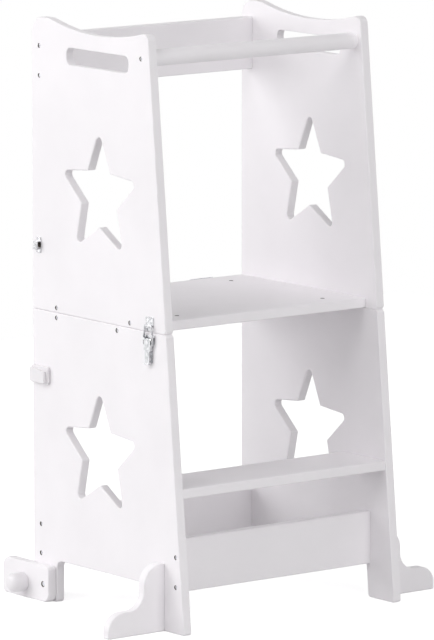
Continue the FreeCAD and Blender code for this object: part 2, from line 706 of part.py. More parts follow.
def lower_panel():
    """Lower side panel: star, and an arch between two legs."""
    body = new_body("lower_side_body")
    sketch = new_sketch(body, "YZ_Plane", "lower_side_outline")
    front_corner = (forward(front_depth(LOWER_TOP)), LOWER_TOP)
    rear_arch = (forward("Sizes.rear_leg"), "Sizes.arch_height")
    front_arch = (forward(f"{front_depth('Sizes.arch_height')} - Sizes.front_leg"), "Sizes.arch_height")
    star = star_corners("Sizes.lower_star_height")
    toes = [
        (forward("0"), "0"),
        (forward("Sizes.rear_leg"), "0"),
        (forward("Sizes.floor_depth - Sizes.front_leg"), "0"),
        (forward("Sizes.floor_depth"), "0"),
    ]
    outline = [toes[0], toes[1], rear_arch, front_arch, toes[2], toes[3], front_corner]
    draw_polygon(sketch, outline + [(forward("0"), LOWER_TOP)])
    draw_polygon(sketch, star)
    feature = pad(body, sketch, "Sizes.board")
    feature = round_corners(body, feature, ALONG_X, [front_corner], "Sizes.split_round")
    feature = round_corners(body, feature, ALONG_X, [rear_arch, front_arch], "Sizes.arch_round")
    feature = round_corners(body, feature, ALONG_X, toes, "Sizes.leg_break", kind="Chamfer")
    round_corners(body, feature, ALONG_X, star[0::2], "Sizes.star_tip_round")
    return place(body, x=INNER)


# ---------------------------------------------------------------- cross boards


def cross_board(name, rear, front, low, high, half_width=INNER):
    """A straight board across the stool, with chamfered long edges."""
    body = new_body(name + "_body")
    sketch = new_sketch(body, "XY_Plane", name + "_outline")
    sides = (f"-({half_width})", half_width)
    draw_polygon(
        sketch,
        [
            (sides[0], forward(front)),
            (sides[1], forward(front)),
            (sides[1], forward(rear)),
            (sides[0], forward(rear)),
        ],
    )
    feature = pad(body, sketch, f"({high}) - ({low})")
    long_edges = edge_names(feature, lambda edge: is_across(edge, ALONG_X))
    dress("Chamfer", body, feature, long_edges, "Sizes.edge_break")
    return place(body, z=low)


def rail(name, rear_distance, centre):
    low = f"{centre} - Sizes.rail_height / 2"
    high = f"{centre} + Sizes.rail_height / 2"
    return cross_board(name, rear_distance, f"{rear_distance} + Sizes.board", low, high)


def splay_foot():
    """A board that stands out sideways from a front leg, with an S-shaped top."""
    body = new_body("splay_foot_body")
    sketch = new_sketch(body, "XZ_Plane", "splay_foot_outline")
    shoulder = (out("Sizes.foot_knee"), "Sizes.foot_height")
    instep = (out("Sizes.foot_knee"), "Sizes.foot_toe")
    toe = (out("Sizes.foot_reach"), "Sizes.foot_toe")
    heel = [(out("0"), "0"), (out("Sizes.foot_reach"), "0")]
    draw_polygon(sketch, heel + [toe, instep, shoulder, (out("0"), "Sizes.foot_height")])
    feature = pad(body, sketch, "Sizes.board")
    feature = round_corners(body, feature, ALONG_Y, [shoulder], "Sizes.foot_shoulder_round")
    feature = round_corners(body, feature, ALONG_Y, [instep], "Sizes.foot_instep_round")
    round_corners(body, feature, ALONG_Y, [toe], "Sizes.foot_toe_round")
    return place(body, y=forward("Sizes.foot_from_rear - Sizes.board"))


def stabiliser_arm():
    """A swinging board on the outside of a rear leg, which reaches back along the floor."""
    body = new_body("stabiliser_arm_body")
    sketch = new_sketch(body, "YZ_Plane", "stabiliser_arm_outline")
    tail = forward("-Sizes.arm_reach_back")
    nose = forward("Sizes.arm_reach_front")
    top = "Sizes.arm_height"
    draw_polygon(sketch, [(nose, "0"), (tail, "0"), (tail, top), (nose, top)])
    feature = pad(body, sketch, "Sizes.board")
    feature = round_corners(body, feature, ALONG_X, [(tail, top)], "Sizes.arm_tail_round")
    feature = round_corners(body, feature, ALONG_X, [(nose, "0")], "Sizes.arm_nose_round")
    round_corners(body, feature, ALONG_X, [(tail, "0"), (nose, top)], "Sizes.arm_corner_round")
    return place(body, x=out("Sizes.arm_gap"))


KNOB_FACE = out("Sizes.arm_gap + Sizes.board")


def knob():
    """A turned knob with a broken outer rim, bored for its screw."""
    body = new_body("arm_knob_body")
    sketch = new_sketch(body, "YZ_Plane", "arm_knob_circle")
    centre = (forward("-Sizes.knob_back"), "Sizes.knob_height")
    draw_circle(sketch, *centre, "Sizes.knob_diameter / 2")
    feature = pad(body, sketch, "Sizes.knob_length")
    far = number("Sizes.knob_length")

    def outer_rim(edge):
        return edge.BoundBox.XMin > far - 0.001

    dress("Chamfer", body, feature, edge_names(feature, outer_rim), "Sizes.knob_break")
    return place(body, x=KNOB_FACE)


upper_platform = cross_board(
    "upper_platform", "0", "Sizes.upper_platform_depth", UPPER_BOTTOM, f"{UPPER_BOTTOM} + Sizes.board"
)
lower_platform = cross_board(
    "lower_platform", "0", "Sizes.lower_platform_depth", f"{LOWER_TOP} - Sizes.board", LOWER_TOP
)
top_rail = rail("top_rear_rail", "Sizes.rail_inset", TOP_RAIL)
low_rail = rail("low_rear_rail", "Sizes.rail_inset", "Sizes.low_rail_height")
apron = rail("front_apron", "Sizes.apron_from_rear - Sizes.board", "Sizes.low_rail_height")
step = cross_board("step_tread", STEP_REAR, STEP_FRONT, "Sizes.step_height - Sizes.board", "Sizes.step_height")
bar = rod("grab_bar_rod", ALONG_X, (f"-{INNER}", BAR_LINE, BAR_HEIGHT), "Sizes.bar_diameter", f"2 * {INNER}")


# ---------------------------------------------------------------- butt hinges

BARREL_AXIS = forward("-Sizes.hinge_back")
HINGE_START = "(Sizes.hinge_side - Sizes.hinge_width / 2)"
KNUCKLES = 5


def hinge_leaf(name, side, knuckles):
    """One leaf with its knuckles; side is + above the split and - below it."""
    gap = "Sizes.hinge_barrel / 2 + Sizes.hinge_clear"
    near = f"{SPLIT} {side} ({gap})"
    far = f"{SPLIT} {side} Sizes.hinge_reach"
    low, high = (near, far) if side == "+" else (far, near)
    end = f"{HINGE_START} + Sizes.hinge_width"
    plate = box(name + "_plate", (HINGE_START, forward("0"), low), (end, forward("-Sizes.hinge_leaf"), high))
    pieces = [plate]
    for index in knuckles:
        start = f"{HINGE_START} + Sizes.hinge_width * {index} / {KNUCKLES} + Sizes.hinge_slit / 2"
        length = f"Sizes.hinge_width / {KNUCKLES} - Sizes.hinge_slit"
        barrel = prism(f"{name}_barrel_{index}", ALONG_X, (start, BARREL_AXIS, SPLIT), "Sizes.hinge_barrel", length)
        web_low, web_high = (SPLIT, near) if side == "+" else (near, SPLIT)
        web = box(
            f"{name}_web_{index}",
            (start, forward("0"), web_low),
            (f"{start} + {length}", forward("-Sizes.hinge_leaf"), web_high),
        )
        pieces += [barrel, web]
    start = (f"{HINGE_START} - 1", BARREL_AXIS, SPLIT)
    bore = prism(name + "_bore", ALONG_X, start, clear_of("Sizes.hinge_pin"), "Sizes.hinge_width + 2")
    return cut(name + "_blank", fuse(name + "_solid", pieces), [bore])


def hinge_screw_spots(side):
    rear_face = forward("-Sizes.hinge_leaf")
    height = f"{SPLIT} {side} Sizes.hinge_screw_reach"
    return [(f"Sizes.hinge_side {sign} Sizes.hinge_screw_side", rear_face, height) for sign in "-+"]


hinge_up_right, hinge_up_bores = fasteners(
    "hinge_screws_upper", SMALL_SCREW, hinge_screw_spots("+"), (0, -1, 0)
)
hinge_low_right, hinge_low_bores = fasteners(
    "hinge_screws_lower", SMALL_SCREW, hinge_screw_spots("-"), (0, -1, 0)
)
pair("hinge_leaf_upper", cut("hinge_leaf_upper_cut", hinge_leaf("hinge_leaf_up", "+", (1, 3)), [hinge_up_right]))
pair("hinge_leaf_lower", cut("hinge_leaf_lower_cut", hinge_leaf("hinge_leaf_low", "-", (0, 2, 4)), [hinge_low_right]))
pair(
    "hinge_pin",
    rod("hinge_pin_rod", ALONG_X, (HINGE_START, BARREL_AXIS, SPLIT), "Sizes.hinge_pin", "Sizes.hinge_width"),
)


# ---------------------------------------------------------------- toggle latches

AXIS_HEIGHT = f"({SPLIT} - Sizes.latch_axis_below_split)"
AXIS_OUT = "Sizes.latch_axis_out"
PIN_HEIGHT = f"({AXIS_HEIGHT} - Sizes.link_throw)"
LINK_TOP = f"({SPLIT} + Sizes.link_top_above_split)"


def beside(distance):
    """The y of a place that lies this far behind the middle line of a latch."""
    return f"({latch_line} + ({distance}))"


def on_both_sides(name, near, far, build):
    """Two pieces of the latch that mirror each other about its middle line."""
    return [
        build(f"{name}_a", beside(near), beside(far)),
        build(f"{name}_b", beside(f"-({far})"), beside(f"-({near})")),
    ]


def sheet_piece(name, outline, start, thickness):
    """A flat piece over the side panel, cut to an outline of (y, z) corners."""
    body = new_body(name + "_body")
    sketch = new_sketch(body, "YZ_Plane", name + "_outline")
    draw_polygon(sketch, outline)
    pad(body, sketch, thickness)
    return place(body, x=start)


def cross_pin(name, half_length, outward, height, diameter, build=rod):
    """A round pin across the latch, or with build=prism the flat-sided bore for one."""
    start = (out(outward), beside(f"-({half_length})"), height)
    return build(name, ALONG_Y, start, diameter, f"2 * ({half_length})")


def latch_base():
    """Base plate, wide at its two ears, which carry the lever pin, and narrow under the lever."""
    half = "Sizes.latch_width / 2"
    neck = "Sizes.latch_neck_width / 2"
    ear_low = f"{AXIS_HEIGHT} - Sizes.latch_ear_radius - Sizes.latch_edge"
    top = f"{AXIS_HEIGHT} + Sizes.latch_ear_radius + Sizes.latch_edge"
    flare = f"{ear_low} - Sizes.latch_flare"
    climb = ((neck, LATCH_LOW), (neck, flare), (half, ear_low), (half, top))
    outline = [(beside(across), up) for across, up in climb]
    outline += [(beside(f"-({across})"), up) for across, up in reversed(climb)]
    plate = sheet_piece("latch_base_plate", outline, out("0"), "Sizes.steel")
    far = "Sizes.latch_ear_side + Sizes.steel"
    low = f"{AXIS_HEIGHT} - Sizes.latch_ear_radius"
    high = f"{AXIS_HEIGHT} + Sizes.latch_ear_radius"

    def stem(name, start, end):
        return box(name, (out("0"), start, low), (out(AXIS_OUT), end, high))

    def eye(name, start, end):
        place_of = (out(AXIS_OUT), start, AXIS_HEIGHT)
        return prism(name, ALONG_Y, place_of, "2 * Sizes.latch_ear_radius", f"({end}) - ({start})")

    ears = on_both_sides("latch_ear_stem", "Sizes.latch_ear_side", far, stem)
    ears += on_both_sides("latch_ear_eye", "Sizes.latch_ear_side", far, eye)
    bore = cross_pin("latch_base_bore", half, AXIS_OUT, AXIS_HEIGHT, clear_of("Sizes.latch_pin"), prism)
    return cut("latch_base_cut", fuse("latch_base_solid", [plate] + ears), [bore, latch_bores_right])


def latch_lever():
    """Channel-shaped lever with a narrower tail, bent out at its end for the finger."""
    face = f"{AXIS_OUT} + Sizes.lever_hub - Sizes.steel"
    outer = f"{AXIS_OUT} + Sizes.lever_hub"
    body_low = f"{AXIS_HEIGHT} - Sizes.lever_body"
    tail_low = f"{AXIS_HEIGHT} - Sizes.lever_tail"
    near = "Sizes.lever_side - Sizes.steel"
    top_plate = box(
        "lever_plate",
        (out(face), beside("-Sizes.lever_side"), body_low),
        (out(outer), beside("Sizes.lever_side"), AXIS_HEIGHT),
    )
    tail = box(
        "lever_tail_plate",
        (out(face), beside("-Sizes.lever_tail_width / 2"), tail_low),
        (out(outer), beside("Sizes.lever_tail_width / 2"), f"{body_low} + 1"),
    )
    lip = box(
        "lever_lip",
        (out(face), beside("-Sizes.lever_tail_width / 2"), tail_low),
        (out(f"{outer} + 2 * Sizes.steel"), beside("Sizes.lever_tail_width / 2"), f"{tail_low} + Sizes.steel"),
    )

    def cheek(name, start, end):
        low_corner = (out(f"{AXIS_OUT} - Sizes.lever_hub"), start, body_low)
        return box(name, low_corner, (out(outer), end, AXIS_HEIGHT))

    def hub(name, start, end):
        place_of = (out(AXIS_OUT), start, AXIS_HEIGHT)
        return prism(name, ALONG_Y, place_of, "2 * Sizes.lever_hub", f"({end}) - ({start})")

    pieces = [top_plate, tail, lip] + on_both_sides("lever_cheek", near, "Sizes.lever_side", cheek)
    pieces += on_both_sides("lever_hub", near, "Sizes.lever_side", hub)
    half = "Sizes.latch_width / 2"
    bores = [
        cross_pin("lever_bore", half, AXIS_OUT, AXIS_HEIGHT, clear_of("Sizes.latch_pin"), prism),
        cross_pin("lever_link_bore", half, AXIS_OUT, PIN_HEIGHT, clear_of("Sizes.link_pin"), prism),
    ]
    return cut("latch_lever_cut", fuse("latch_lever_solid", pieces), bores)


def latch_link():
    """Draw link: two arms beside the lever that lean in to a cross bar over the keeper's tongue."""
    far = "Sizes.link_side + Sizes.link_arm"
    inner = f"{AXIS_OUT} - Sizes.link_half_width"
    bend = f"{AXIS_HEIGHT} + Sizes.latch_ear_radius + 1"
    inside = (("Sizes.link_side", PIN_HEIGHT), ("Sizes.link_side", bend))
    inside += (("Sizes.link_top_side", f"{LINK_TOP} - Sizes.link_bar"),)
    outside = (("Sizes.link_top_side + Sizes.link_arm", LINK_TOP), (far, bend), (far, PIN_HEIGHT))
    outline = [(beside(across), up) for across, up in inside]
    outline += [(beside(f"-({across})"), up) for across, up in reversed(inside)]
    outline += [(beside(f"-({across})"), up) for across, up in reversed(outside)]
    outline += [(beside(across), up) for across, up in outside]
    frame = sheet_piece("link_frame", outline, out(inner), "2 * Sizes.link_half_width")

    def eye(name, start, end):
        place_of = (out(AXIS_OUT), start, PIN_HEIGHT)
        return prism(name, ALONG_Y, place_of, "2 * Sizes.link_half_width", f"({end}) - ({start})")

    pieces = [frame] + on_both_sides("link_eye", "Sizes.link_side", far, eye)
    bore = cross_pin("link_bore", f"{far} + 1", AXIS_OUT, PIN_HEIGHT, clear_of("Sizes.link_pin"), prism)
    return cut("latch_link_cut", fuse("latch_link_solid", pieces), [bore])


def latch_keeper():
    """Keeper plate with a tongue that passes through the link."""
    half = "Sizes.keeper_width / 2"
    plate = box(
        "keeper_plate",
        (out("0"), beside(f"-{half}"), KEEPER_LOW),
        (out("Sizes.steel"), beside(half), KEEPER_HIGH),
    )
    tongue_top = f"{LINK_TOP} - Sizes.link_bar - Sizes.tongue_gap"
    tongue = box(
        "keeper_tongue",
        (out("0"), beside("-Sizes.keeper_tongue / 2"), f"{tongue_top} - Sizes.steel"),
        (out("Sizes.tongue_out"), beside("Sizes.keeper_tongue / 2"), tongue_top),
    )
    return cut("latch_keeper_cut", fuse("latch_keeper_solid", [plate, tongue]), [keeper_bores_right])


pair("latch_base", latch_base())
pair("latch_lever", latch_lever())
pair("latch_link", latch_link())
pair("latch_keeper", latch_keeper())
ear_end = "Sizes.latch_ear_side + Sizes.steel"
pair("latch_pin", cross_pin("latch_pin_rod", ear_end, AXIS_OUT, AXIS_HEIGHT, "Sizes.latch_pin"))
link_end = "Sizes.link_side + Sizes.link_arm + 0.6"
pair("link_pin", cross_pin("link_pin_rod", link_end, AXIS_OUT, PIN_HEIGHT, "Sizes.link_pin"))


# ---------------------------------------------------------------- slide bolts and strikes

NECK_FRONT = "(Sizes.bolt_from_rear + Sizes.bolt_length)"
housing_bores_right, housing_bores = fasteners("bolt_housing_screws", HOUSING_SCREW, housing_spots, (-1, 0, 0))


def bolt_housing():
    """Plastic housing with a channel that is open to the rear, and a slot for the neck of the bolt."""
    body = new_body("bolt_housing_body")
    sketch = new_sketch(body, "YZ_Plane", "bolt_housing_outline")
    tail = forward("Sizes.housing_from_rear")
    nose = forward("Sizes.housing_from_rear + Sizes.housing_length")
    low = f"{BOLT_HEIGHT} - Sizes.housing_height / 2"
    high = f"{BOLT_HEIGHT} + Sizes.housing_height / 2"
    draw_polygon(sketch, [(nose, low), (tail, low), (tail, high), (nose, high)])
    feature = pad(body, sketch, "Sizes.housing_out")
    feature = round_corners(body, feature, ALONG_X, [(tail, low), (tail, high)], "Sizes.housing_tail_round")
    corners = [(nose, low), (nose, high)]
    round_corners(body, feature, ALONG_X, corners, "Sizes.housing_nose_break", kind="Chamfer")
    place(body, x=out("0"))
    half = "(Sizes.bolt_height / 2 + Sizes.bolt_gap)"
    channel = box(
        "bolt_channel",
        (
            out("Sizes.bolt_out - Sizes.bolt_gap"),
            forward(f"{NECK_FRONT} + 1"),
            f"{BOLT_HEIGHT} - {half}",
        ),
        (
            out("Sizes.bolt_out + Sizes.bolt_thick - Sizes.bolt_gap"),
            forward("Sizes.housing_from_rear - 1"),
            f"{BOLT_HEIGHT} + {half}",
        ),
    )
    thumb = "(Sizes.neck_height / 2 + Sizes.bolt_gap)"
    slot = box(
        "bolt_neck_slot",
        (out("Sizes.bolt_out"), forward(f"{NECK_FRONT} + Sizes.bolt_gap"), f"{BOLT_HEIGHT} - {thumb}"),
        (
            out("Sizes.housing_out + 1"),
            forward(f"{NECK_FRONT} - Sizes.neck_length - Sizes.bolt_travel - Sizes.bolt_gap"),
            f"{BOLT_HEIGHT} + {thumb}",
        ),
    )
    return cut("bolt_housing_cut", body, [channel, slot, housing_bores_right])


def slide_bolt():
    """Flat bolt in the channel, and a neck that carries the grip in front of the housing."""
    inner_face = "Sizes.bolt_out + Sizes.bolt_thick - 2 * Sizes.bolt_gap"
    tail = forward("Sizes.bolt_from_rear")
    nose = forward(NECK_FRONT)
    low = f"{BOLT_HEIGHT} - Sizes.bolt_height / 2"
    high = f"{BOLT_HEIGHT} + Sizes.bolt_height / 2"
    bolt = new_body("slide_bolt_body")
    sketch = new_sketch(bolt, "YZ_Plane", "slide_bolt_outline")
    draw_polygon(sketch, [(nose, low), (tail, low), (tail, high), (nose, high)])
    feature = pad(bolt, sketch, "Sizes.bolt_thick - 2 * Sizes.bolt_gap")
    round_corners(bolt, feature, ALONG_X, [(tail, low), (tail, high)], "Sizes.bolt_break", kind="Chamfer")
    place(bolt, x=out("Sizes.bolt_out"))

    face = "Sizes.housing_out + Sizes.bolt_gap"
    half = "Sizes.neck_height / 2"
    neck = box(
        "bolt_neck",
        (out(inner_face), nose, f"{BOLT_HEIGHT} - {half}"),
        (out(face), forward(f"{NECK_FRONT} - Sizes.neck_length"), f"{BOLT_HEIGHT} + {half}"),
    )

    tail = forward("Sizes.grip_from_rear")
    nose = forward("Sizes.grip_from_rear + Sizes.grip_length")
    low = f"{BOLT_HEIGHT} - Sizes.grip_height / 2"
    high = f"{BOLT_HEIGHT} + Sizes.grip_height / 2"
    outline = [(nose, low), (tail, low), (tail, high), (nose, f"{high} - Sizes.grip_fall")]
    grip = new_body("bolt_grip_body")
    sketch = new_sketch(grip, "YZ_Plane", "bolt_grip_outline")
    draw_polygon(sketch, outline)
    feature = pad(grip, sketch, f"Sizes.grip_out - ({face})")
    round_corners(grip, feature, ALONG_X, outline, "Sizes.grip_break", kind="Chamfer")
    place(grip, x=out(face))
    return fuse("slide_bolt_solid", [bolt, neck, grip])


def strike():
    """Bridge-shaped strike that the bolt enters once the upper half is folded down."""
    body = new_body("strike_body")
    sketch = new_sketch(body, "XZ_Plane", "strike_profile")
    room = "(Sizes.bolt_height / 2 + Sizes.staple_gap)"
    top = "Sizes.strike_room"
    sheet_metal = "Sizes.strike_sheet"
    upper = [
        (out("0"), f"{STRIKE_HEIGHT} + {room}"),
        (out("0"), f"{STRIKE_HEIGHT} + Sizes.strike_height / 2"),
        (out(sheet_metal), f"{STRIKE_HEIGHT} + Sizes.strike_height / 2"),
        (out(sheet_metal), f"{STRIKE_HEIGHT} + {room} + {sheet_metal}"),
        (out(f"{top} + {sheet_metal}"), f"{STRIKE_HEIGHT} + {room} + {sheet_metal}"),
    ]
    lower = [
        (out(f"{top} + {sheet_metal}"), f"{STRIKE_HEIGHT} - {room} - {sheet_metal}"),
        (out(sheet_metal), f"{STRIKE_HEIGHT} - {room} - {sheet_metal}"),
        (out(sheet_metal), f"{STRIKE_HEIGHT} - Sizes.strike_height / 2"),
        (out("0"), f"{STRIKE_HEIGHT} - Sizes.strike_height / 2"),
        (out("0"), f"{STRIKE_HEIGHT} - {room}"),
    ]
    inside = [(out(top), f"{STRIKE_HEIGHT} - {room}"), (out(top), f"{STRIKE_HEIGHT} + {room}")]
    draw_polygon(sketch, upper + lower + inside)
    pad(body, sketch, "Sizes.strike_length")
    place(body, y=forward("Sizes.strike_from_rear"))
    return cut("strike_cut", body, [strike_bores_right])


mortise = box(
    "strike_mortise",
    (
        out("-Sizes.mortise_depth"),
        forward("Sizes.strike_from_rear + Sizes.strike_length - Sizes.staple_gap"),
        f"{STRIKE_HEIGHT} - Sizes.bolt_height / 2",
    ),
    (
        out("1"),
        forward("Sizes.strike_from_rear + Sizes.staple_gap"),
        f"{STRIKE_HEIGHT} + Sizes.bolt_height / 2",
    ),
)
pair("bolt_housing", bolt_housing())
pair("slide_bolt", slide_bolt())
pair("strike", strike())


# ---------------------------------------------------------------- stabiliser arms


def stabiliser_pieces():
    """The arm with its pivot screw, and the knob with its screw from behind."""
    pivot_length = size("arm_gap") + size("board") + size("pivot_bite")
    values = [size("pivot_head"), size("pivot_sink"), size("pivot_shank"), pivot_length, size("screw_socket")]
    spot = Vector(number(KNOB_FACE), number(forward("Sizes.pivot_from_rear")), size("pivot_height"))
    inward = Vector(-1, 0, 0)
    pivot = placed(screw_shape(*values, turns=True), spot, inward)
    bore = placed(screw_shape(*values, grow=size("fit"), turns=True), spot, inward)
    pivot_bore = solid_group("pivot_bore", [bore])
    pair("arm_pivot_screw", solid_group("arm_pivot_screw_solid", [pivot]))

    knob_values = [size(alias) for alias in ("screw_head", "screw_sink", "screw_shank")]
    knob_values += [size("board") + size("knob_hole") - 2, size("screw_socket")]
    knob_spot = Vector(number(out("Sizes.arm_gap")), number(forward("-Sizes.knob_back")), size("knob_height"))
    outward = Vector(1, 0, 0)
    knob_screw = placed(screw_shape(*knob_values), knob_spot, outward)
    knob_bore = solid_group("knob_bore", [placed(screw_shape(*knob_values, grow=size("fit")), knob_spot, outward)])
    pair("knob_screw", solid_group("knob_screw_solid", [knob_screw]))

    pair("stabiliser_arm", cut("stabiliser_arm_cut", stabiliser_arm(), [pivot_bore, knob_bore]))
    pair("arm_knob", cut("arm_knob_cut", knob(), [knob_bore]))
    return pivot_bore


pivot_bore = stabiliser_pieces()


# ---------------------------------------------------------------- boards with their bores

upper_tools = [upper_bores_right, keeper_bores_right, strike_bores_right, mortise]
pair("upper_side_panel", cut("upper_side_cut", upper_panel(), upper_tools))
lower_tools = [
    lower_bores_right,
    cap_bores_right,
    latch_bores_right,
    housing_bores_right,
    step_bores_right,
    apron_bores_right,
    foot_bores_right,
    pivot_bore,
]
pair("lower_side_panel", cut("lower_side_cut", lower_panel(), lower_tools))
pair("splay_foot", cut("splay_foot_cut", splay_foot(), [foot_bores_right]))
node("upper_platform", cut("upper_platform_cut", upper_platform, [upper_bores, top_bores, hinge_up_bores]))
node("lower_platform", cut("lower_platform_cut", lower_platform, [lower_bores, hinge_low_bores]))
node("top_rear_rail", cut("top_rail_cut", top_rail, [upper_bores]))
node("low_rear_rail", cut("low_rail_cut", low_rail, [lower_bores]))
node("front_apron", cut("apron_cut", apron, [apron_bores]))
node("step_tread", cut("step_cut", step, [step_bores]))
node("grab_bar", cut("grab_bar_cut", bar, [upper_bores]))


# ---------------------------------------------------------------- check and write

doc.recompute()
for item in doc.Objects:
    if "Invalid" in item.State or "Error" in item.State:
        raise RuntimeError(f"{item.Name} did not build: {item.State}")
for name, item in NODES.items():
    if item.Shape.isNull() or not item.Shape.isValid() or not item.Shape.Solids:
        raise RuntimeError(f"{name} has no valid solid")

os.makedirs("parts", exist_ok=True)
for name, item in NODES.items():
    item.Shape.exportStep(f"parts/{name}.step")
    print(f"{name}: {len(item.Shape.Solids)} solid(s), {item.Shape.Volume / 1000:.1f} cm3")
print(len(NODES), "nodes")
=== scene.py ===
# %% [markdown]
# # A toddler's kitchen helper stool
# The stool is a small tower of white boards, in which a child stands at the worktop. Two latches
# and two hinges let its upper half fold over, and then it is a table with a bench.
# This lesson dresses a finished set of solids, which give every size and every place. Blender
# adds what they leave out: soft edges, paint, plated steel, light and a camera. The stool could
# be modelled from nothing instead, but then its moving parts would have to be fitted again.

# %% Load the solids
import json
import math

import bmesh
import bpy
from mathutils import Matrix, Vector


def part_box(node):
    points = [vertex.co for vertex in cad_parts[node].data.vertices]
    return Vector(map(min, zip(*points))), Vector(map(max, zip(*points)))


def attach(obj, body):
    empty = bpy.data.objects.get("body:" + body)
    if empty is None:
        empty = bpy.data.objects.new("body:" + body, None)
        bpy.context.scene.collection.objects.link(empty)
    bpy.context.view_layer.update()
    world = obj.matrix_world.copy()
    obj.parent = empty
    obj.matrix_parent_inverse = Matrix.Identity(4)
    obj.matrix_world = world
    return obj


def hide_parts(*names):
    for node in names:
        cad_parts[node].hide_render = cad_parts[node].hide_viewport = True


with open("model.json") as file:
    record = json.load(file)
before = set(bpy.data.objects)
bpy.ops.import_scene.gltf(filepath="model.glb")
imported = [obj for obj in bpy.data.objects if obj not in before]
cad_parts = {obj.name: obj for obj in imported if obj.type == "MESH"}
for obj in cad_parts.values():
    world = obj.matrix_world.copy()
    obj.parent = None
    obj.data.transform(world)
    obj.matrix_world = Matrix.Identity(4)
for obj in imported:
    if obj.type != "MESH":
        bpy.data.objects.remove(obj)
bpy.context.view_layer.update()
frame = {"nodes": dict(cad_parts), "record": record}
MM = 0.001
BODIES = frame["record"]["behaviour"]["bodies"]
BODY_OF = {name: body for body, names in BODIES.items() for name in names}
SLOT_OF = {part["node"]: part["material_slot"] for part in frame["record"]["subparts"]}

# %% [markdown]
# ## The camera
# The photograph was taken from far away with a long lens, so that parallel boards stay almost
# parallel. A camera could be turned by eye until the picture fits. Here its place was worked out
# from the corners of the boards, because distance, height and angle are then right together.

# %% Camera
camera_data = bpy.data.cameras.new("long_lens")
camera_data.sensor_fit = "HORIZONTAL"
camera_data.sensor_width = 36.0
camera_data.lens = 512.5
camera_data.clip_end = 100.0
camera = bpy.data.objects.new("long_lens", camera_data)
bpy.context.scene.collection.objects.link(camera)
camera.location = Vector((-5.7013, -7.4108, 1.9090))
aim = Vector((0.0165, -0.0084, 0.4305))
camera.rotation_euler = (aim - camera.location).to_track_quat("-Z", "Y").to_euler()
bpy.context.scene.camera = camera
bpy.context.scene.view_settings.view_transform = "Standard"
print("camera distance:", round((aim - camera.location).length, 3), "m")

# %% [markdown]
# ## Colours and nodes
# A paint maker gives a colour as an sRGB hex value, and the shader needs linear values. Numbers
# could be picked by eye, but a hex value can be compared with a real paint, so that one function
# turns it into what the shader needs. One helper adds any node, which keeps materials short.


# %% Colour and node helpers
def paint_code(code):
    """Linear RGBA of an sRGB hex value. The numbers are those of the sRGB standard."""
    channels = [int(code[i : i + 2], 16) / 255 for i in (1, 3, 5)]
    linear = [c / 12.92 if c <= 0.04045 else ((c + 0.055) / 1.055) ** 2.4 for c in channels]
    return (*linear, 1.0)


def add(tree, kind, values=None, links=None, **settings):
    """Adds a node with its settings, its socket values and what feeds its sockets."""
    item = tree.nodes.new(kind)
    for name, value in settings.items():
        setattr(item, name, value)
    for socket, value in (values or {}).items():
        item.inputs[socket].default_value = value
    for socket, source in (links or {}).items():
        tree.links.new(source, item.inputs[socket])
    return item


def blank(name):
    """An empty node material and its tree."""
    material = bpy.data.materials.new(name)
    material.use_nodes = True
    material.node_tree.nodes.clear()
    return material, material.node_tree


def finish_material(material, tree, shader):
    """Gives a material its output and says that it is done."""
    add(tree, "ShaderNodeOutputMaterial", links={"Surface": shader.outputs[0]})
    print("material:", material.name)
    return material


WHITE = paint_code("#FFFFFF")
print("white in linear values:", WHITE)

# %% [markdown]
# ## Patterns
# No real surface is even: paint has orange peel, plating has patches, wood has grain. A picture
# of a surface could show that, but it would have to be unwrapped onto each piece. Noise in three
# dimensions needs no unwrapping and runs through a board as grain does. Its size is given in
# real millimetres. It drives two tones, a sheen or a relief.


# %% Pattern helpers
def noise(tree, vector, millimetres, detail=2.0):
    """A cloudy pattern whose features are this many millimetres apart."""
    values = {"Scale": 1000.0 / millimetres, "Detail": detail}
    return add(tree, "ShaderNodeTexNoise", values, {"Vector": vector}).outputs["Fac"]


def stretched(tree, coords, scale):
    """Coordinates that draw a pattern out along the axis with the small number."""
    return add(tree, "ShaderNodeMapping", {"Scale": scale}, {"Vector": coords}).outputs["Vector"]


def two_tones(tree, pattern, first, last, start, end):
    """A colour that goes from first to last while the pattern goes from start to end."""
    ramp = add(tree, "ShaderNodeValToRGB", links={"Fac": pattern})
    for stop, position, code in zip(ramp.color_ramp.elements, (start, end), (first, last)):
        stop.position = position
        stop.color = paint_code(code)
    return ramp.outputs["Color"]


def sheen(tree, pattern, smooth, rough):
    """A roughness between two limits that follows the pattern."""
    limits = {"To Min": smooth, "To Max": rough}
    return add(tree, "ShaderNodeMapRange", limits, {"Value": pattern}).outputs["Result"]


def relief(tree, pattern, strength, depth, below=None):
    """Bumps of a depth in millimetres, on top of other bumps if there are any."""
    links = {"Height": pattern}
    if below is not None:
        links["Normal"] = below
    values = {"Strength": strength, "Distance": depth * MM}
    return add(tree, "ShaderNodeBump", values, links).outputs["Normal"]


print("pattern helpers are ready")

# %% [markdown]
# ## White lacquer on boards
# The boards are sanded pine or fibre board under two rolled coats of white satin lacquer.
# To the eye this is a clean, slightly cool white with a broad soft sheen. One plain white would
# do from far away. Close up, the roller leaves a faint orange peel, and a little of the grain
# shows through along the board. Two patterns make this relief, one of them stretched along the
# grain. A third one shifts the white and the sheen a little, since no rolled coat is even.


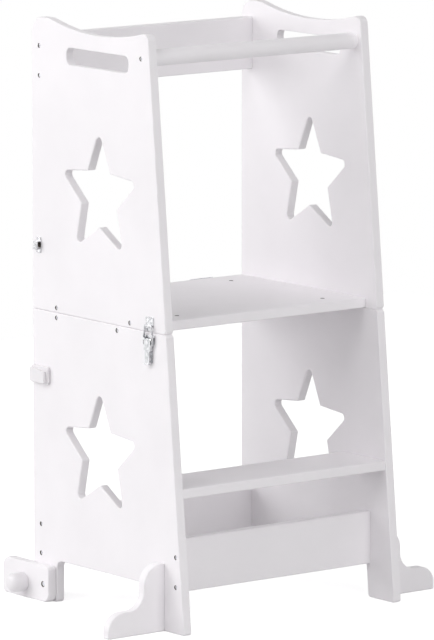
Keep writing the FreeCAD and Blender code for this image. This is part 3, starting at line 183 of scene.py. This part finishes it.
# %% Lacquer
def satin_lacquer(name, along):
    """White lacquer on a board whose grain runs along one axis (0 is X, 1 is Y, 2 is Z)."""
    material, tree = blank(name)
    coords = add(tree, "ShaderNodeTexCoord").outputs["Object"]
    # Real orange peel is about 1.5 mm across. It is drawn at 4 mm so that it shows at all.
    peel = noise(tree, coords, millimetres=4)
    drawn_out = [1.0, 1.0, 1.0]
    drawn_out[along] = 0.03
    grain = noise(tree, stretched(tree, coords, drawn_out), millimetres=3, detail=3.0)
    patches = noise(tree, coords, millimetres=140, detail=3.0)
    orange_peel = relief(tree, peel, strength=0.25, depth=0.05)
    lacquer = add(
        tree,
        "ShaderNodeBsdfPrincipled",
        {"IOR": 1.5, "Metallic": 0.0},
        {
            "Base Color": two_tones(tree, patches, "#F0EDF0", "#F5F2F5", start=0.3, end=0.7),
            "Roughness": sheen(tree, patches, smooth=0.46, rough=0.56),
            "Normal": relief(tree, grain, strength=0.3, depth=0.05, below=orange_peel),
        },
    )
    return finish_material(material, tree, lacquer)


UPRIGHT_LACQUER = satin_lacquer("satin_white_lacquer_upright_grain", along=2)
ACROSS_LACQUER = satin_lacquer("satin_white_lacquer_across_grain", along=0)
LENGTHWISE_LACQUER = satin_lacquer("satin_white_lacquer_lengthwise_grain", along=1)

# %% [markdown]
# ## Plated steel
# The latches are pressed from sheet steel and nickel plated: a smooth, neutral grey mirror with
# fine drawing lines. The hinges and screws are zinc plated, which is paler, duller and blotchy.
# Each could be one metal with one roughness. Real plating varies over a few millimetres, and
# that is what the eye takes for metal, so that one pattern shifts both colour and roughness.


# %% Metals
def plated_steel(name, light, dark, smooth, rough, spread):
    """Plating whose colour and roughness vary over patches of the given size in mm."""
    material, tree = blank(name)
    coords = add(tree, "ShaderNodeTexCoord").outputs["Object"]
    patches = noise(tree, coords, spread, detail=4.0)
    # Drawing lines are about 0.1 mm apart. They are drawn at 0.6 mm so that they catch light.
    lines = noise(tree, stretched(tree, coords, (1.0, 1.0, 0.06)), millimetres=0.6)
    steel = add(
        tree,
        "ShaderNodeBsdfPrincipled",
        {"Metallic": 1.0},
        {
            "Base Color": two_tones(tree, patches, dark, light, start=0.35, end=0.65),
            "Roughness": sheen(tree, patches, smooth, rough),
            "Normal": relief(tree, lines, strength=0.25, depth=0.02),
        },
    )
    return finish_material(material, tree, steel)


NICKEL = plated_steel("nickel_plated_steel", "#D2D2D4", "#B4B5B8", 0.16, 0.3, spread=6)
ZINC = plated_steel("zinc_plated_steel", "#EFEFF2", "#DADADE", 0.25, 0.45, spread=4)

# %% [markdown]
# ## Moulded plastic and bare wood
# The knobs and the bolts are moulded ABS, white and quite glossy. Spark erosion leaves a fine
# grain in the mould, and the plastic takes it on. The dowels are bare beech. Where a drill or a
# chisel goes in after painting, the bare board shows. Its colour here is a dark grey brown,
# darker and greyer than bare pine, so that it paints the shade inside such a small hole as well.
# Wood could be rings cut by a plane, but on pieces this small only the lines along it show.


# %% Plastic and bare wood
def moulded_abs(name, code):
    """White ABS with the fine grain of a spark-eroded mould."""
    material, tree = blank(name)
    coords = add(tree, "ShaderNodeTexCoord").outputs["Object"]
    # Mould grain is about 0.1 mm. It is drawn at 0.8 mm, the finest that a close view shows.
    pits = noise(tree, coords, millimetres=0.8)
    plastic = add(
        tree,
        "ShaderNodeBsdfPrincipled",
        {"Base Color": paint_code(code), "IOR": 1.54},
        {
            "Roughness": sheen(tree, pits, smooth=0.24, rough=0.36),
            "Normal": relief(tree, pits, strength=0.15, depth=0.03),
        },
    )
    return finish_material(material, tree, plastic)


def bare_wood(name, dark, light):
    """Wood without paint, straight grained along X, with short darker flecks."""
    material, tree = blank(name)
    coords = add(tree, "ShaderNodeTexCoord").outputs["Object"]
    drawn_out = stretched(tree, coords, (0.05, 1.0, 1.0))
    grain = noise(tree, drawn_out, millimetres=1.2, detail=5.0)
    wood = add(
        tree,
        "ShaderNodeBsdfPrincipled",
        {"Roughness": 0.55},
        {"Base Color": two_tones(tree, grain, dark, light, start=0.35, end=1.0)},
    )
    return finish_material(material, tree, wood)


WHITE_ABS = moulded_abs("moulded_white_abs", "#EAE7EA")
BEECH = bare_wood("turned_beech", "#A87B4F", "#D9B487")
# Bare board darkened past real pine: it is also painted shade on the walls of small holes.
BARE_BOARD_AND_BORE_SHADE = bare_wood("bare_board_darkened_as_bore_shade", "#4A423C", "#6E645B")

# %% [markdown]
# ## Which finish goes where
# Every solid gets its finish by the record's slot. They could be given out by hand, but a slot
# can't be forgotten. The boards differ only in the way that their grain runs: up the side
# panels, across the shelves and rails, and along the arms.

# %% Finishes
FINISH = {
    "painted_board": ACROSS_LACQUER,
    "beech_dowel": BEECH,
    "hinge_steel": ZINC,
    "screw_steel": ZINC,
    "latch_chrome": NICKEL,
    "white_plastic": WHITE_ABS,
}


def finish_of(node_name):
    """The material of a solid, by its name where the slot doesn't say enough."""
    if "side_panel" in node_name:
        return UPRIGHT_LACQUER
    if "stabiliser_arm" in node_name:
        return LENGTHWISE_LACQUER
    if node_name.startswith("strike_") and "screw" not in node_name:
        return NICKEL
    return FINISH[SLOT_OF[node_name]]


for node_name, solid in frame["nodes"].items():
    solid.data.materials.clear()
    solid.data.materials.append(finish_of(node_name))
print("finishes given to", len(frame["nodes"]), "solids")

# %% [markdown]
# ## Which edges get soft
# A router rounds the rims of real boards, and a press leaves sheet steel with soft edges. The
# solids have sharp ones. All edges could be rounded alike, but a rim as wide as a small hole
# would swallow the hole. So the sharp edges are gathered into groups that hang together, and
# the size of a group tells a board's outline or a star from a screw hole.

# %% Groups of edges
SAME_CORNER = 0.001 * MM  # corners nearer than this are one corner
SHARP_ANGLE = math.radians(28)


def connected(items, neighbours):
    """Groups of items that hang together, as lists, in the order of the items."""
    left = set(items)
    groups = []
    for start in items:
        if start not in left:
            continue
        left.remove(start)
        group = [start]
        for item in group:  # the group grows while it is walked
            for other in neighbours(item):
                if other in left:
                    left.remove(other)
                    group.append(other)
        groups.append(group)
    return groups


def sharp_groups(bm):
    """Groups of connected sharp edges."""
    pairs = [edge for edge in bm.edges if len(edge.link_faces) == 2]
    sharp = [edge for edge in pairs if edge.calc_face_angle(0.0) > SHARP_ANGLE]
    return connected(sharp, lambda edge: [o for end in edge.verts for o in end.link_edges])


def box_round(points):
    """The lowest and the highest corner of the box round some points."""
    low = Vector([min(point[i] for point in points) for i in range(3)])
    high = Vector([max(point[i] for point in points) for i in range(3)])
    return low, high


def group_size(group):
    """Diagonal of the box round a group of edges."""
    low, high = box_round([corner.co for edge in group for corner in edge.verts])
    return (high - low).length


print("an edge is sharp from", round(math.degrees(SHARP_ANGLE)), "degrees")

# %% [markdown]
# ## A piece in a solid's place
# The softened copy has to move with the solid that it stands for, so that each piece rides on
# the solid's body and carries the solid's name in its own, and the solid is hidden. A modifier
# could stay on the piece. It is applied to a copy of the mesh here, because the steps after it
# need the finished corners.


# %% Piece and modifier helpers
def new_piece(name, data, node_name, inside=None):
    """Links a mesh that stands for a solid: it rides with the solid's body."""
    piece = bpy.data.objects.new(name, data)
    bpy.context.scene.collection.objects.link(piece)
    data.materials.append(finish_of(node_name))
    data.materials.append(inside or finish_of(node_name))
    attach(piece, BODY_OF[node_name])
    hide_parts(node_name)


def modified(data, kind, **settings):
    """A copy of a mesh with one modifier applied."""
    helper = bpy.data.objects.new("helper", data)
    bpy.context.scene.collection.objects.link(helper)
    modifier = helper.modifiers.new("step", kind)
    for name, value in settings.items():
        setattr(modifier, name, value)
    bpy.context.view_layer.update()
    evaluated = helper.evaluated_get(bpy.context.evaluated_depsgraph_get())
    result = bpy.data.meshes.new_from_object(evaluated)
    bpy.data.objects.remove(helper)
    return result


print("bodies that pieces ride on:", sorted(set(BODY_OF.values())))

# %% [markdown]
# ## Flat sides without slivers
# A board's side is one flat face with holes. In the mesh it is cut into long thin triangles, and
# next to a bevel they catch the light as faint streaks. The side could be cut up by hand. It is
# emptied here and filled again from its outline and its holes, which leaves no such sliver.

# %% Flat sides
LARGE_FLAT = 60 * MM * MM  # smaller faces are left as they are
SAME_WAY = 0.99999  # cosine of the angle between two faces of one flat side
SAME_LEVEL = 0.002 * MM


def flat_sides(bm):
    """The large flat sides: for each, its faces, its direction and its finish."""
    large = [face for face in bm.faces if face.calc_area() > LARGE_FLAT]
    done = set()
    sides = []
    for seed in sorted(large, key=lambda face: -face.calc_area()):
        if seed in done:
            continue
        done.add(seed)
        level = seed.normal.dot(seed.verts[0].co)
        flat = [seed]
        for face in flat:  # the flat side grows while it is walked
            for near in [other for edge in face.edges for other in edge.link_faces]:
                same_way = near.normal.dot(seed.normal) > SAME_WAY
                above = near.verts[0].co.dot(seed.normal) - level
                if near not in done and same_way and abs(above) < SAME_LEVEL:
                    done.add(near)
                    flat.append(near)
        sides.append((flat, seed.normal.copy(), seed.material_index))
    return sides


def refill_flats(bm):
    """Fills each large flat side anew from its outline and its holes."""
    for flat, normal, finish in flat_sides(bm):
        edges = list(dict.fromkeys(edge for face in flat for edge in face.edges))
        bmesh.ops.delete(bm, geom=flat, context="FACES_ONLY")
        loose = [edge for edge in edges if not edge.link_faces]
        rim = [edge for edge in edges if edge.link_faces]
        bmesh.ops.delete(bm, geom=loose, context="EDGES")
        filled = bmesh.ops.triangle_fill(bm, edges=rim, normal=normal, use_beauty=True)
        for face in filled["geom"]:
            if isinstance(face, bmesh.types.BMFace):
                face.material_index = finish
                if face.normal.dot(normal) < 0:
                    face.normal_flip()


print("flat sides are filled anew from", round(LARGE_FLAT / MM / MM), "mm2")

# %% [markdown]
# ## Boards that differ from their solids
# The two halves of the real stool rest on each other, and the seam is a hairline. The solids
# leave 0.4 mm there, because solids that touch would seem to collide. A dark line on the paint
# could stand for the seam. A true gap, only closer, is also right when the stool is folded.
# The front edge of the lower platform hides behind the upper one in the photograph. The solid's
# would show, so that it is set back by as much as its front screws allow.

# %% Seam and hidden front
SEAM_HEIGHT = 450 * MM
SEAM_GAP = 0.06 * MM
SEAM_REACH = 1 * MM  # corners this near to the seam belong to it
FRONT_REACH = 5 * MM  # corners this near to the front belong to the front edge
SET_BACK = 50 * MM


def close_seam(bm):
    """Moves the corners at the seam between the halves until only a hair's gap is left."""
    for corner in bm.verts:
        above = corner.co.z - SEAM_HEIGHT
        if abs(above) < SEAM_REACH:
            corner.co.z = SEAM_HEIGHT + math.copysign(SEAM_GAP / 2, above)


def shorten_front(bm):
    """Sets the front edge of a board further back, to where the photograph hides it."""
    front = min(corner.co.y for corner in bm.verts)
    for corner in bm.verts:
        if corner.co.y < front + FRONT_REACH:
            corner.co.y += SET_BACK


print("gap at the seam:", round(SEAM_GAP / MM, 2), "mm")

# %% [markdown]
# ## Rounding the rims
# A rim could be drawn round in the material alone, but its outline would stay sharp. The Bevel
# modifier makes it round in the mesh. It takes the edges that have a weight. Then the faces are
# shaded smooth, and a second modifier lets the largest face at a corner decide how the corner is
# shaded, so that flat sides stay flat right up to the rim. Small holes show the bare board, in a
# dark tone that paints their shade as well.

# %% Bevel helper
ONE_PLANE = math.radians(0.5)
SHADED_SHARP = math.radians(32)


def weigh_rims(bm, smallest_group):
    """Gives the rims their weight, and the walls of small holes the second finish."""
    weight = bm.edges.layers.float.new("bevel_weight_edge")
    small_corners = set()
    count = 0
    for group in sharp_groups(bm):
        if group_size(group) < smallest_group * MM:
            small_corners.update(corner for edge in group for corner in edge.verts)
            continue
        for edge in group:
            edge[weight] = 1.0
            count += 1
    # Faces of small holes get the second material. On the boards this is the dark bare board, which
    # also paints the shade inside the holes.
    for face in bm.faces:
        face.material_index = int(all(corner in small_corners for corner in face.verts))
    return count


def soften(node_name, width, segments, smallest_group, inside=None, reshape=None):
    """A copy of a solid with its rims rounded, which takes the solid's place.

    The width of the rims and the size of the smallest group that gets one are in millimetres.
    """
    bm = bmesh.new()
    bm.from_mesh(frame["nodes"][node_name].data)
    bmesh.ops.remove_doubles(bm, verts=bm.verts, dist=SAME_CORNER)
    bmesh.ops.dissolve_limit(bm, angle_limit=ONE_PLANE, verts=bm.verts, edges=bm.edges)
    if reshape:
        reshape(bm)
    count = weigh_rims(bm, smallest_group)
    data = bpy.data.meshes.new("sharp")
    bm.to_mesh(data)
    bm.free()
    rounded = modified(
        data,
        "BEVEL",
        limit_method="WEIGHT",
        width=width * MM,
        segments=segments,
        use_clamp_overlap=False,
        miter_outer="MITER_ARC",
    )
    bm = bmesh.new()
    bm.from_mesh(rounded)
    bmesh.ops.remove_doubles(bm, verts=bm.verts, dist=SAME_CORNER)
    refill_flats(bm)
    for face in bm.faces:
        face.smooth = True
    bm.to_mesh(rounded)
    bm.free()
    rounded.set_sharp_from_angle(angle=SHADED_SHARP)
    # The usual threshold, 0.01 m2, is larger than most faces here and makes them count alike.
    shaped = modified(rounded, "WEIGHTED_NORMAL", keep_sharp=True, weight=100, thresh=0.0)
    shaped.name = node_name + "_soft"
    new_piece(node_name + "_soft", shaped, node_name, inside)
    print(node_name, "rim edges:", count, "faces:", len(shaped.polygons))


# %% [markdown]
# ## The boards
# A router took about 2 mm off the rims of the side panels, the feet and the arms, also round the
# stars and the arches. The shelves and rails between the panels only had their edges broken with
# sandpaper. One rim for all would be less work, but the wide one makes a shelf look swollen.

# %% Boards
SIDES = ("left", "right")
# inside: dark bare board on the walls of small holes, bare wood and painted bore shade together.
ROUTED = {"width": 2.0, "segments": 3, "inside": BARE_BOARD_AND_BORE_SHADE}
SANDED = {"width": 0.5, "segments": 2, "smallest_group": 60, "inside": BARE_BOARD_AND_BORE_SHADE}
for side in SIDES:
    soften("upper_side_panel_" + side, smallest_group=60, reshape=close_seam, **ROUTED)
    soften("lower_side_panel_" + side, smallest_group=60, reshape=close_seam, **ROUTED)
    soften("splay_foot_" + side, smallest_group=45, **ROUTED)
    soften("stabiliser_arm_" + side, **{**ROUTED, "width": 2.5, "smallest_group": 45})
for board in ("upper_platform", "top_rear_rail", "low_rear_rail", "front_apron", "step_tread"):
    soften(board, **SANDED)
soften("lower_platform", reshape=shorten_front, **SANDED)

# %% [markdown]
# ## Latches, hinges, bolts
# These are thin sheet and small mouldings, so that their edges are only a few tenths of a
# millimetre round. Left sharp, they would look like cut paper, because no edge would catch the
# light. The same helper does them with a narrow bevel.

# %% Small hardware
for side in SIDES:
    for stem in ("latch_base_", "latch_lever_", "latch_link_", "latch_keeper_"):
        soften(stem + side, width=0.25, segments=2, smallest_group=6.5)
    for stem in ("hinge_leaf_upper_", "hinge_leaf_lower_"):
        soften(stem + side, width=0.2, segments=2, smallest_group=9)
    soften("strike_" + side, width=0.35, segments=2, smallest_group=9)
    soften("bolt_housing_" + side, width=1.0, segments=3, smallest_group=16)
    soften("slide_bolt_" + side, width=0.5, segments=2, smallest_group=4)

# %% [markdown]
# ## Where the screws are
# The solids of the screws have eight flat sides, which is enough to hold their places. The real
# ones are round, so that new ones are turned here. Their places could be typed in again, but the
# solids have them: one mesh holds a set of screws, and each group of corners that hang together
# is one screw. The box round it gives its place, its length and its head's width.


# %% Screw places
def islands(node_name):
    """Boxes (low, high) of the separate screws in one solid."""
    bm = bmesh.new()
    bm.from_mesh(frame["nodes"][node_name].data)
    bmesh.ops.remove_doubles(bm, verts=bm.verts, dist=SAME_CORNER)
    groups = connected(
        list(bm.verts), lambda corner: [edge.other_vert(corner) for edge in corner.link_edges]
    )
    boxes = [box_round([corner.co for corner in group]) for group in groups]
    bm.free()
    return boxes


print("screws in the platform's top:", len(islands("platform_top_screws")))

# %% [markdown]
# ## Sockets and crosses
# The large screws have a hexagon socket and the small ones a cross recess. Either could be cut
# out of a finished head with a Boolean modifier, which leaves untidy faces. Here every outline
# of a screw has the same number of points, in order of angle, so that a round one can be joined
# to a hexagon or a cross with plain four-sided faces.

# %% Outlines
ROUND = 24


def circle(radius):
    """The points of a circle."""
    turns = [2 * math.pi * k / ROUND for k in range(ROUND)]
    return [(radius * math.cos(t), radius * math.sin(t)) for t in turns]


def hexagon(across_flats):
    """The points of a hexagon."""
    points = []
    for k in range(ROUND):
        turn = 2 * math.pi * k / ROUND
        reach = across_flats / 2 / math.cos(turn % (math.pi / 3) - math.pi / 6)
        points.append((reach * math.cos(turn), reach * math.sin(turn)))
    return points


def cross(length, width):
    """The points of a cross, six for each of its four arms."""
    far, near = length / 2, width / 2
    middle = (far + near) / 2
    arm = [(far, 0), (far, near), (middle, near), (near, near), (near, middle), (near, far)]
    points = []
    for k in range(4):
        c, s = round(math.cos(k * math.pi / 2)), round(math.sin(k * math.pi / 2))
        points += [(c * x - s * y, s * x + c * y) for x, y in arm]
    return points


def scaled(points, factor):
    """The same outline, larger or smaller."""
    return [(x * factor, y * factor) for x, y in points]


print("points in each outline of a screw:", ROUND)

# %% [markdown]
# ## One screw
# A screw is turned on a lathe and its recess is pressed in. It could be a cylinder and a cone
# put together. Rings of points from the tip up over the head and down into the recess are one
# closed surface instead, with the small rounding at the head's rim that catches the light.


# %% Screw helpers
def turn_screw(bm, place, head, sink, shank, length, recess, recess_depth):
    """Adds one countersunk screw, whose head lies at the origin of place and looks along +Z.

    Head and shank are radii. Each row below is an outline and its depth under the head's top.
    """
    profile = [
        (circle(0.15 * shank), length),  # the blunt tip
        (circle(shank), length - 1.6 * shank),  # where the point begins
        (circle(shank), sink),  # where the cone of the head begins
        (circle(head), 0.28 * MM),  # the head's rim
        (circle(head - 0.12 * MM), 0.05 * MM),  # its rounding
        (circle(head - 0.3 * MM), 0.0),  # the flat top
        (scaled(recess, 1.1), 0.02 * MM),  # the rounded mouth of the recess
        (recess, 0.2 * MM),  # the recess itself
        (scaled(recess, 0.94), recess_depth),  # a little narrower at its bottom
    ]
    rings = [
        [bm.verts.new(place @ Vector((x, y, -depth))) for x, y in points]
        for points, depth in profile
    ]
    for outer, inner in zip(rings, rings[1:]):
        for k in range(ROUND):
            bm.faces.new((outer[k - 1], outer[k], inner[k], inner[k - 1]))
    bm.faces.new(rings[0])
    drill_point = 0.4 * MM
    bottom = bm.verts.new(place @ Vector((0, 0, -recess_depth - drill_point)))
    for k in range(ROUND):
        bm.faces.new((rings[-1][k - 1], rings[-1][k], bottom))


INSIDE_EIGHT = math.cos(math.pi / 8)  # a circle inside eight flat sides, against their corners
SCREW_SHARP = math.radians(40)


def screw_set(node_name, axis, outward, sink, shank, recess, recess_depth, under=0.0, play=0.0):
    """Round screws in place of the flat-sided ones; outward gives each head's direction.

    Shank is a diameter. A head lies deeper than in the solid by under, and its radius leaves
    play in the bore.
    """
    bm = bmesh.new()
    boxes = islands(node_name)
    for low, high in boxes:
        sign = outward((low + high) / 2)
        spot = (low + high) / 2
        spot[axis] = (high if sign > 0 else low)[axis] - sign * under
        across = (axis + 1) % 3
        head = (high - low)[across] / 2 * INSIDE_EIGHT - play
        slim = shank / 2 * INSIDE_EIGHT
        way = Vector((0, 0, 0))
        way[axis] = sign
        turned = Vector((0, 0, 1)).rotation_difference(way).to_matrix().to_4x4()
        place = Matrix.Translation(spot) @ turned
        length = (high - low)[axis] - under
        turn_screw(bm, place, head, sink, slim, length, recess, recess_depth)
    bmesh.ops.recalc_face_normals(bm, faces=bm.faces)
    data = bpy.data.meshes.new(node_name + "_round")
    bm.to_mesh(data)
    bm.free()
    data.set_sharp_from_angle(angle=SCREW_SHARP)
    for face in data.polygons:
        face.use_smooth = True
    new_piece(node_name + "_round", data, node_name)
    print(node_name, len(boxes), "screws")


# %% [markdown]
# ## All the screws
# Large countersunk screws hold the boards, the arms turn on thicker ones, and small cross-head
# screws hold the hardware. In the photograph, the large heads in the sides lie a little deep and
# have a dark crescent round them: the bore is wider than the head. A dark ring alone could be
# painted on. Here heads that are smaller and deeper give the true shadow from every side, and the
# bore walls round them have the dark bare board colour, which paints part of the crescent as shade.

# %% Screws
X, Y, Z = 0, 1, 2
LARGE = {"sink": 3.0 * MM, "shank": 4.4 * MM, "recess": hexagon(3.6 * MM), "recess_depth": 2.0 * MM}
PIVOT = {"sink": 3.0 * MM, "shank": 6.0 * MM, "recess": hexagon(4.0 * MM), "recess_depth": 2.2 * MM}
SMALL_CROSS = cross(length=3.0 * MM, width=0.8 * MM)
SMALL = {"sink": 1.1 * MM, "shank": 2.6 * MM, "recess": SMALL_CROSS, "recess_depth": 0.7 * MM}
SUNK = {"under": 0.5 * MM, "play": 0.35 * MM}


def sideways(middle):
    """Away from the middle of the stool."""
    return 1 if middle.x > 0 else -1


def inside_out(middle):
    """Towards the middle of the stool."""
    return -1 if middle.x > 0 else 1


def along_axis(middle):
    """Along the axis: up on Z, and to the rear on Y."""
    return 1


for node_name in ("upper_panel_screws", "lower_panel_screws", "front_leg_screws"):
    screw_set(node_name, X, sideways, **LARGE, **SUNK)
screw_set("platform_top_screws", Z, along_axis, **LARGE)
for side in SIDES:
    screw_set("arm_pivot_screw_" + side, X, sideways, **PIVOT, **SUNK)
    screw_set("knob_screw_" + side, X, inside_out, **LARGE)
for stem in ("latch_base", "latch_keeper", "strike", "bolt_housing"):
    screw_set(stem + "_screws", X, sideways, **SMALL)
for node_name in ("hinge_screws_upper", "hinge_screws_lower"):
    screw_set(node_name, Y, along_axis, **SMALL)

# %% [markdown]
# ## The knobs
# Each arm has a white moulded knob to pull it by. Its outer end is rounded off, and a screw from
# inside the arm holds it. A Bevel modifier on a cylinder would come close. A knob is round, so
# that one profile turned about its axis makes the bore, the small rim and the dome in one go.

# %% Knobs
KNOB_SIDES = 48
BORE_RADIUS = 2.3 * MM
BORE_DEPTH = 14 * MM
RIM = [(1.2, 0.0), (0.35, 0.35), (0.0, 1.2)]  # mm off the radius and along the axis
DOME = 10 * MM
DOME_STEPS = 10
KNOB_SHARP = math.radians(50)


def knob_profile(radius, length):
    """Points (radius, place along the axis) from the bore's edge to the top of the dome."""
    profile = [(BORE_RADIUS, 0.0)]
    profile += [(radius - less * MM, along * MM) for less, along in RIM]
    for k in range(DOME_STEPS + 1):
        turn = math.pi / 2 * k / DOME_STEPS
        reach = radius - DOME + DOME * math.cos(turn)
        profile.append((reach, length - DOME + DOME * math.sin(turn)))
    return profile


def turned_knob(side, sign):
    """A knob whose bore is on the arm's side and whose dome looks outwards, by sign."""
    low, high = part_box("arm_knob_" + side)
    middle = (low + high) / 2
    start = low.x if sign > 0 else high.x
    turns = [2 * math.pi * k / KNOB_SIDES for k in range(KNOB_SIDES)]
    bm = bmesh.new()

    def ring(reach, along):
        x = start + sign * along
        spots = [(x, middle.y + reach * math.cos(t), middle.z + reach * math.sin(t)) for t in turns]
        return [bm.verts.new(spot) for spot in spots]

    def join(lower, upper):
        for k in range(KNOB_SIDES):
            bm.faces.new((lower[k - 1], lower[k], upper[k], upper[k - 1]))

    profile = knob_profile((high.z - low.z) / 2, high.x - low.x)
    rings = [ring(reach, along) for reach, along in profile]
    for lower, upper in zip(rings, rings[1:]):
        join(lower, upper)
    bm.faces.new(rings[-1])
    bore_end = ring(BORE_RADIUS, BORE_DEPTH)
    join(rings[0], bore_end)
    bm.faces.new(bore_end)
    bmesh.ops.recalc_face_normals(bm, faces=bm.faces)
    data = bpy.data.meshes.new("arm_knob_turned_" + side)
    bm.to_mesh(data)
    bm.free()
    data.set_sharp_from_angle(angle=KNOB_SHARP)
    for face in data.polygons:
        face.use_smooth = True
    new_piece("arm_knob_turned_" + side, data, "arm_knob_" + side)
    print("knob", side, "faces:", len(data.polygons))


turned_knob("left", -1)
turned_knob("right", 1)

# %% [markdown]
# ## The white surroundings
# The photograph is a product shot on pure white. A bright white world would light the stool from
# all sides and wash it out. So the world is white only where the camera or a reflection looks,
# and it gives the boards no more than a weak fill light.


# %% World
def view_share(tree):
    """One where the camera, a reflection or a clear surface looks, nought for light."""
    path = add(tree, "ShaderNodeLightPath")
    camera_or_gloss = add(
        tree,
        "ShaderNodeMath",
        links={0: path.outputs["Is Camera Ray"], 1: path.outputs["Is Glossy Ray"]},
        operation="MAXIMUM",
    )
    return add(
        tree,
        "ShaderNodeMath",
        links={0: camera_or_gloss.outputs[0], 1: path.outputs["Is Transmission Ray"]},
        operation="MAXIMUM",
    ).outputs[0]


FILL = 0.2
world = bpy.data.worlds.new("white_studio")
bpy.context.scene.world = world
world.use_nodes = True
sky = world.node_tree
sky.nodes.clear()
seen = view_share(sky)
strength = add(sky, "ShaderNodeMapRange", {"To Min": FILL, "To Max": 1.0}, {"Value": seen})
brightness = {"Strength": strength.outputs["Result"]}
glow = add(sky, "ShaderNodeBackground", {"Color": WHITE}, brightness)
add(sky, "ShaderNodeOutputWorld", links={"Surface": glow.outputs[0]})
print("fill light from all sides:", FILL)

# %% [markdown]
# ## The floor
# The stool stands on white paper, and only a faint shadow shows under its feet. A floor could be
# left out, but then the stool would float. A pale matt floor takes the shadow, and a little white
# glow, for the camera and for reflections only, brings the paper round it up to pure white.

# %% Floor
FLOOR_REACH = 2.2
UNDER_FEET = 0.3 * MM  # floor and feet would flicker in one plane
LIFT = 0.62
side_steps = ((-1, -1), (1, -1), (1, 1), (-1, 1))
corners = [(x * FLOOR_REACH, y * FLOOR_REACH, 0) for x, y in side_steps]
floor_data = bpy.data.meshes.new("studio_floor")
floor_data.from_pydata(corners, [], [(0, 1, 2, 3)])
floor = bpy.data.objects.new("studio_floor", floor_data)
bpy.context.scene.collection.objects.link(floor)
floor.location.z = -UNDER_FEET
material, tree = blank("white_studio_floor")
matt = add(tree, "ShaderNodeBsdfDiffuse", {"Color": paint_code("#E6E6E6")})
seen = view_share(tree)
lift_strength = add(tree, "ShaderNodeMath", {1: LIFT}, {0: seen}, operation="MULTIPLY")
strength = {"Strength": lift_strength.outputs[0]}
lift = add(tree, "ShaderNodeEmission", {"Color": WHITE}, strength)
both = add(tree, "ShaderNodeAddShader", links={0: matt.outputs[0], 1: lift.outputs[0]})
floor_data.materials.append(finish_material(material, tree, both))

# %% [markdown]
# ## The lamps
# The shades of white tell a board's sides apart, so that the lamps set how they differ. The side
# of the stool that looks to the left is the brightest face in the photograph, the front edges
# are darker, and the insides are pale grey. Six large soft lamps stand all round. The two on
# the left and the one in front do most of the work. The one on the right lights the side that the
# photograph doesn't show, and the weak ones above and behind lift the tops and the rear edges.
# One large lamp would be simpler, but it leaves the insides too dark or burns out the sides.

# %% Lamps
LAMP_SIDE = 3.0
CENTRE = Vector((0.0, 0.0, 0.45))


def soft_lamp(name, spot, watts):
    """A square lamp at a spot, turned to the middle of the stool."""
    data = bpy.data.lights.new(name, "AREA")
    data.shape = "SQUARE"
    data.size = LAMP_SIDE
    data.energy = watts
    lamp = bpy.data.objects.new(name, data)
    bpy.context.scene.collection.objects.link(lamp)
    lamp.location = Vector(spot)
    lamp.rotation_euler = (CENTRE - lamp.location).to_track_quat("-Z", "Y").to_euler()
    print("lamp", name, watts, "W")


soft_lamp("rear_left_softbox", (-3.62, 2.53, 1.72), watts=101.0)
soft_lamp("left_softbox", (-3.3, -0.5, 3.4), watts=65.0)
soft_lamp("front_softbox", (0.0, -4.34, 1.97), watts=76.0)
soft_lamp("top_softbox", (-0.44, -1.31, 4.83), watts=15.0)
soft_lamp("rear_softbox", (-1.19, 3.95, 2.42), watts=15.0)
soft_lamp("right_softbox", (4.3, 0.4, 1.5), watts=45.0)
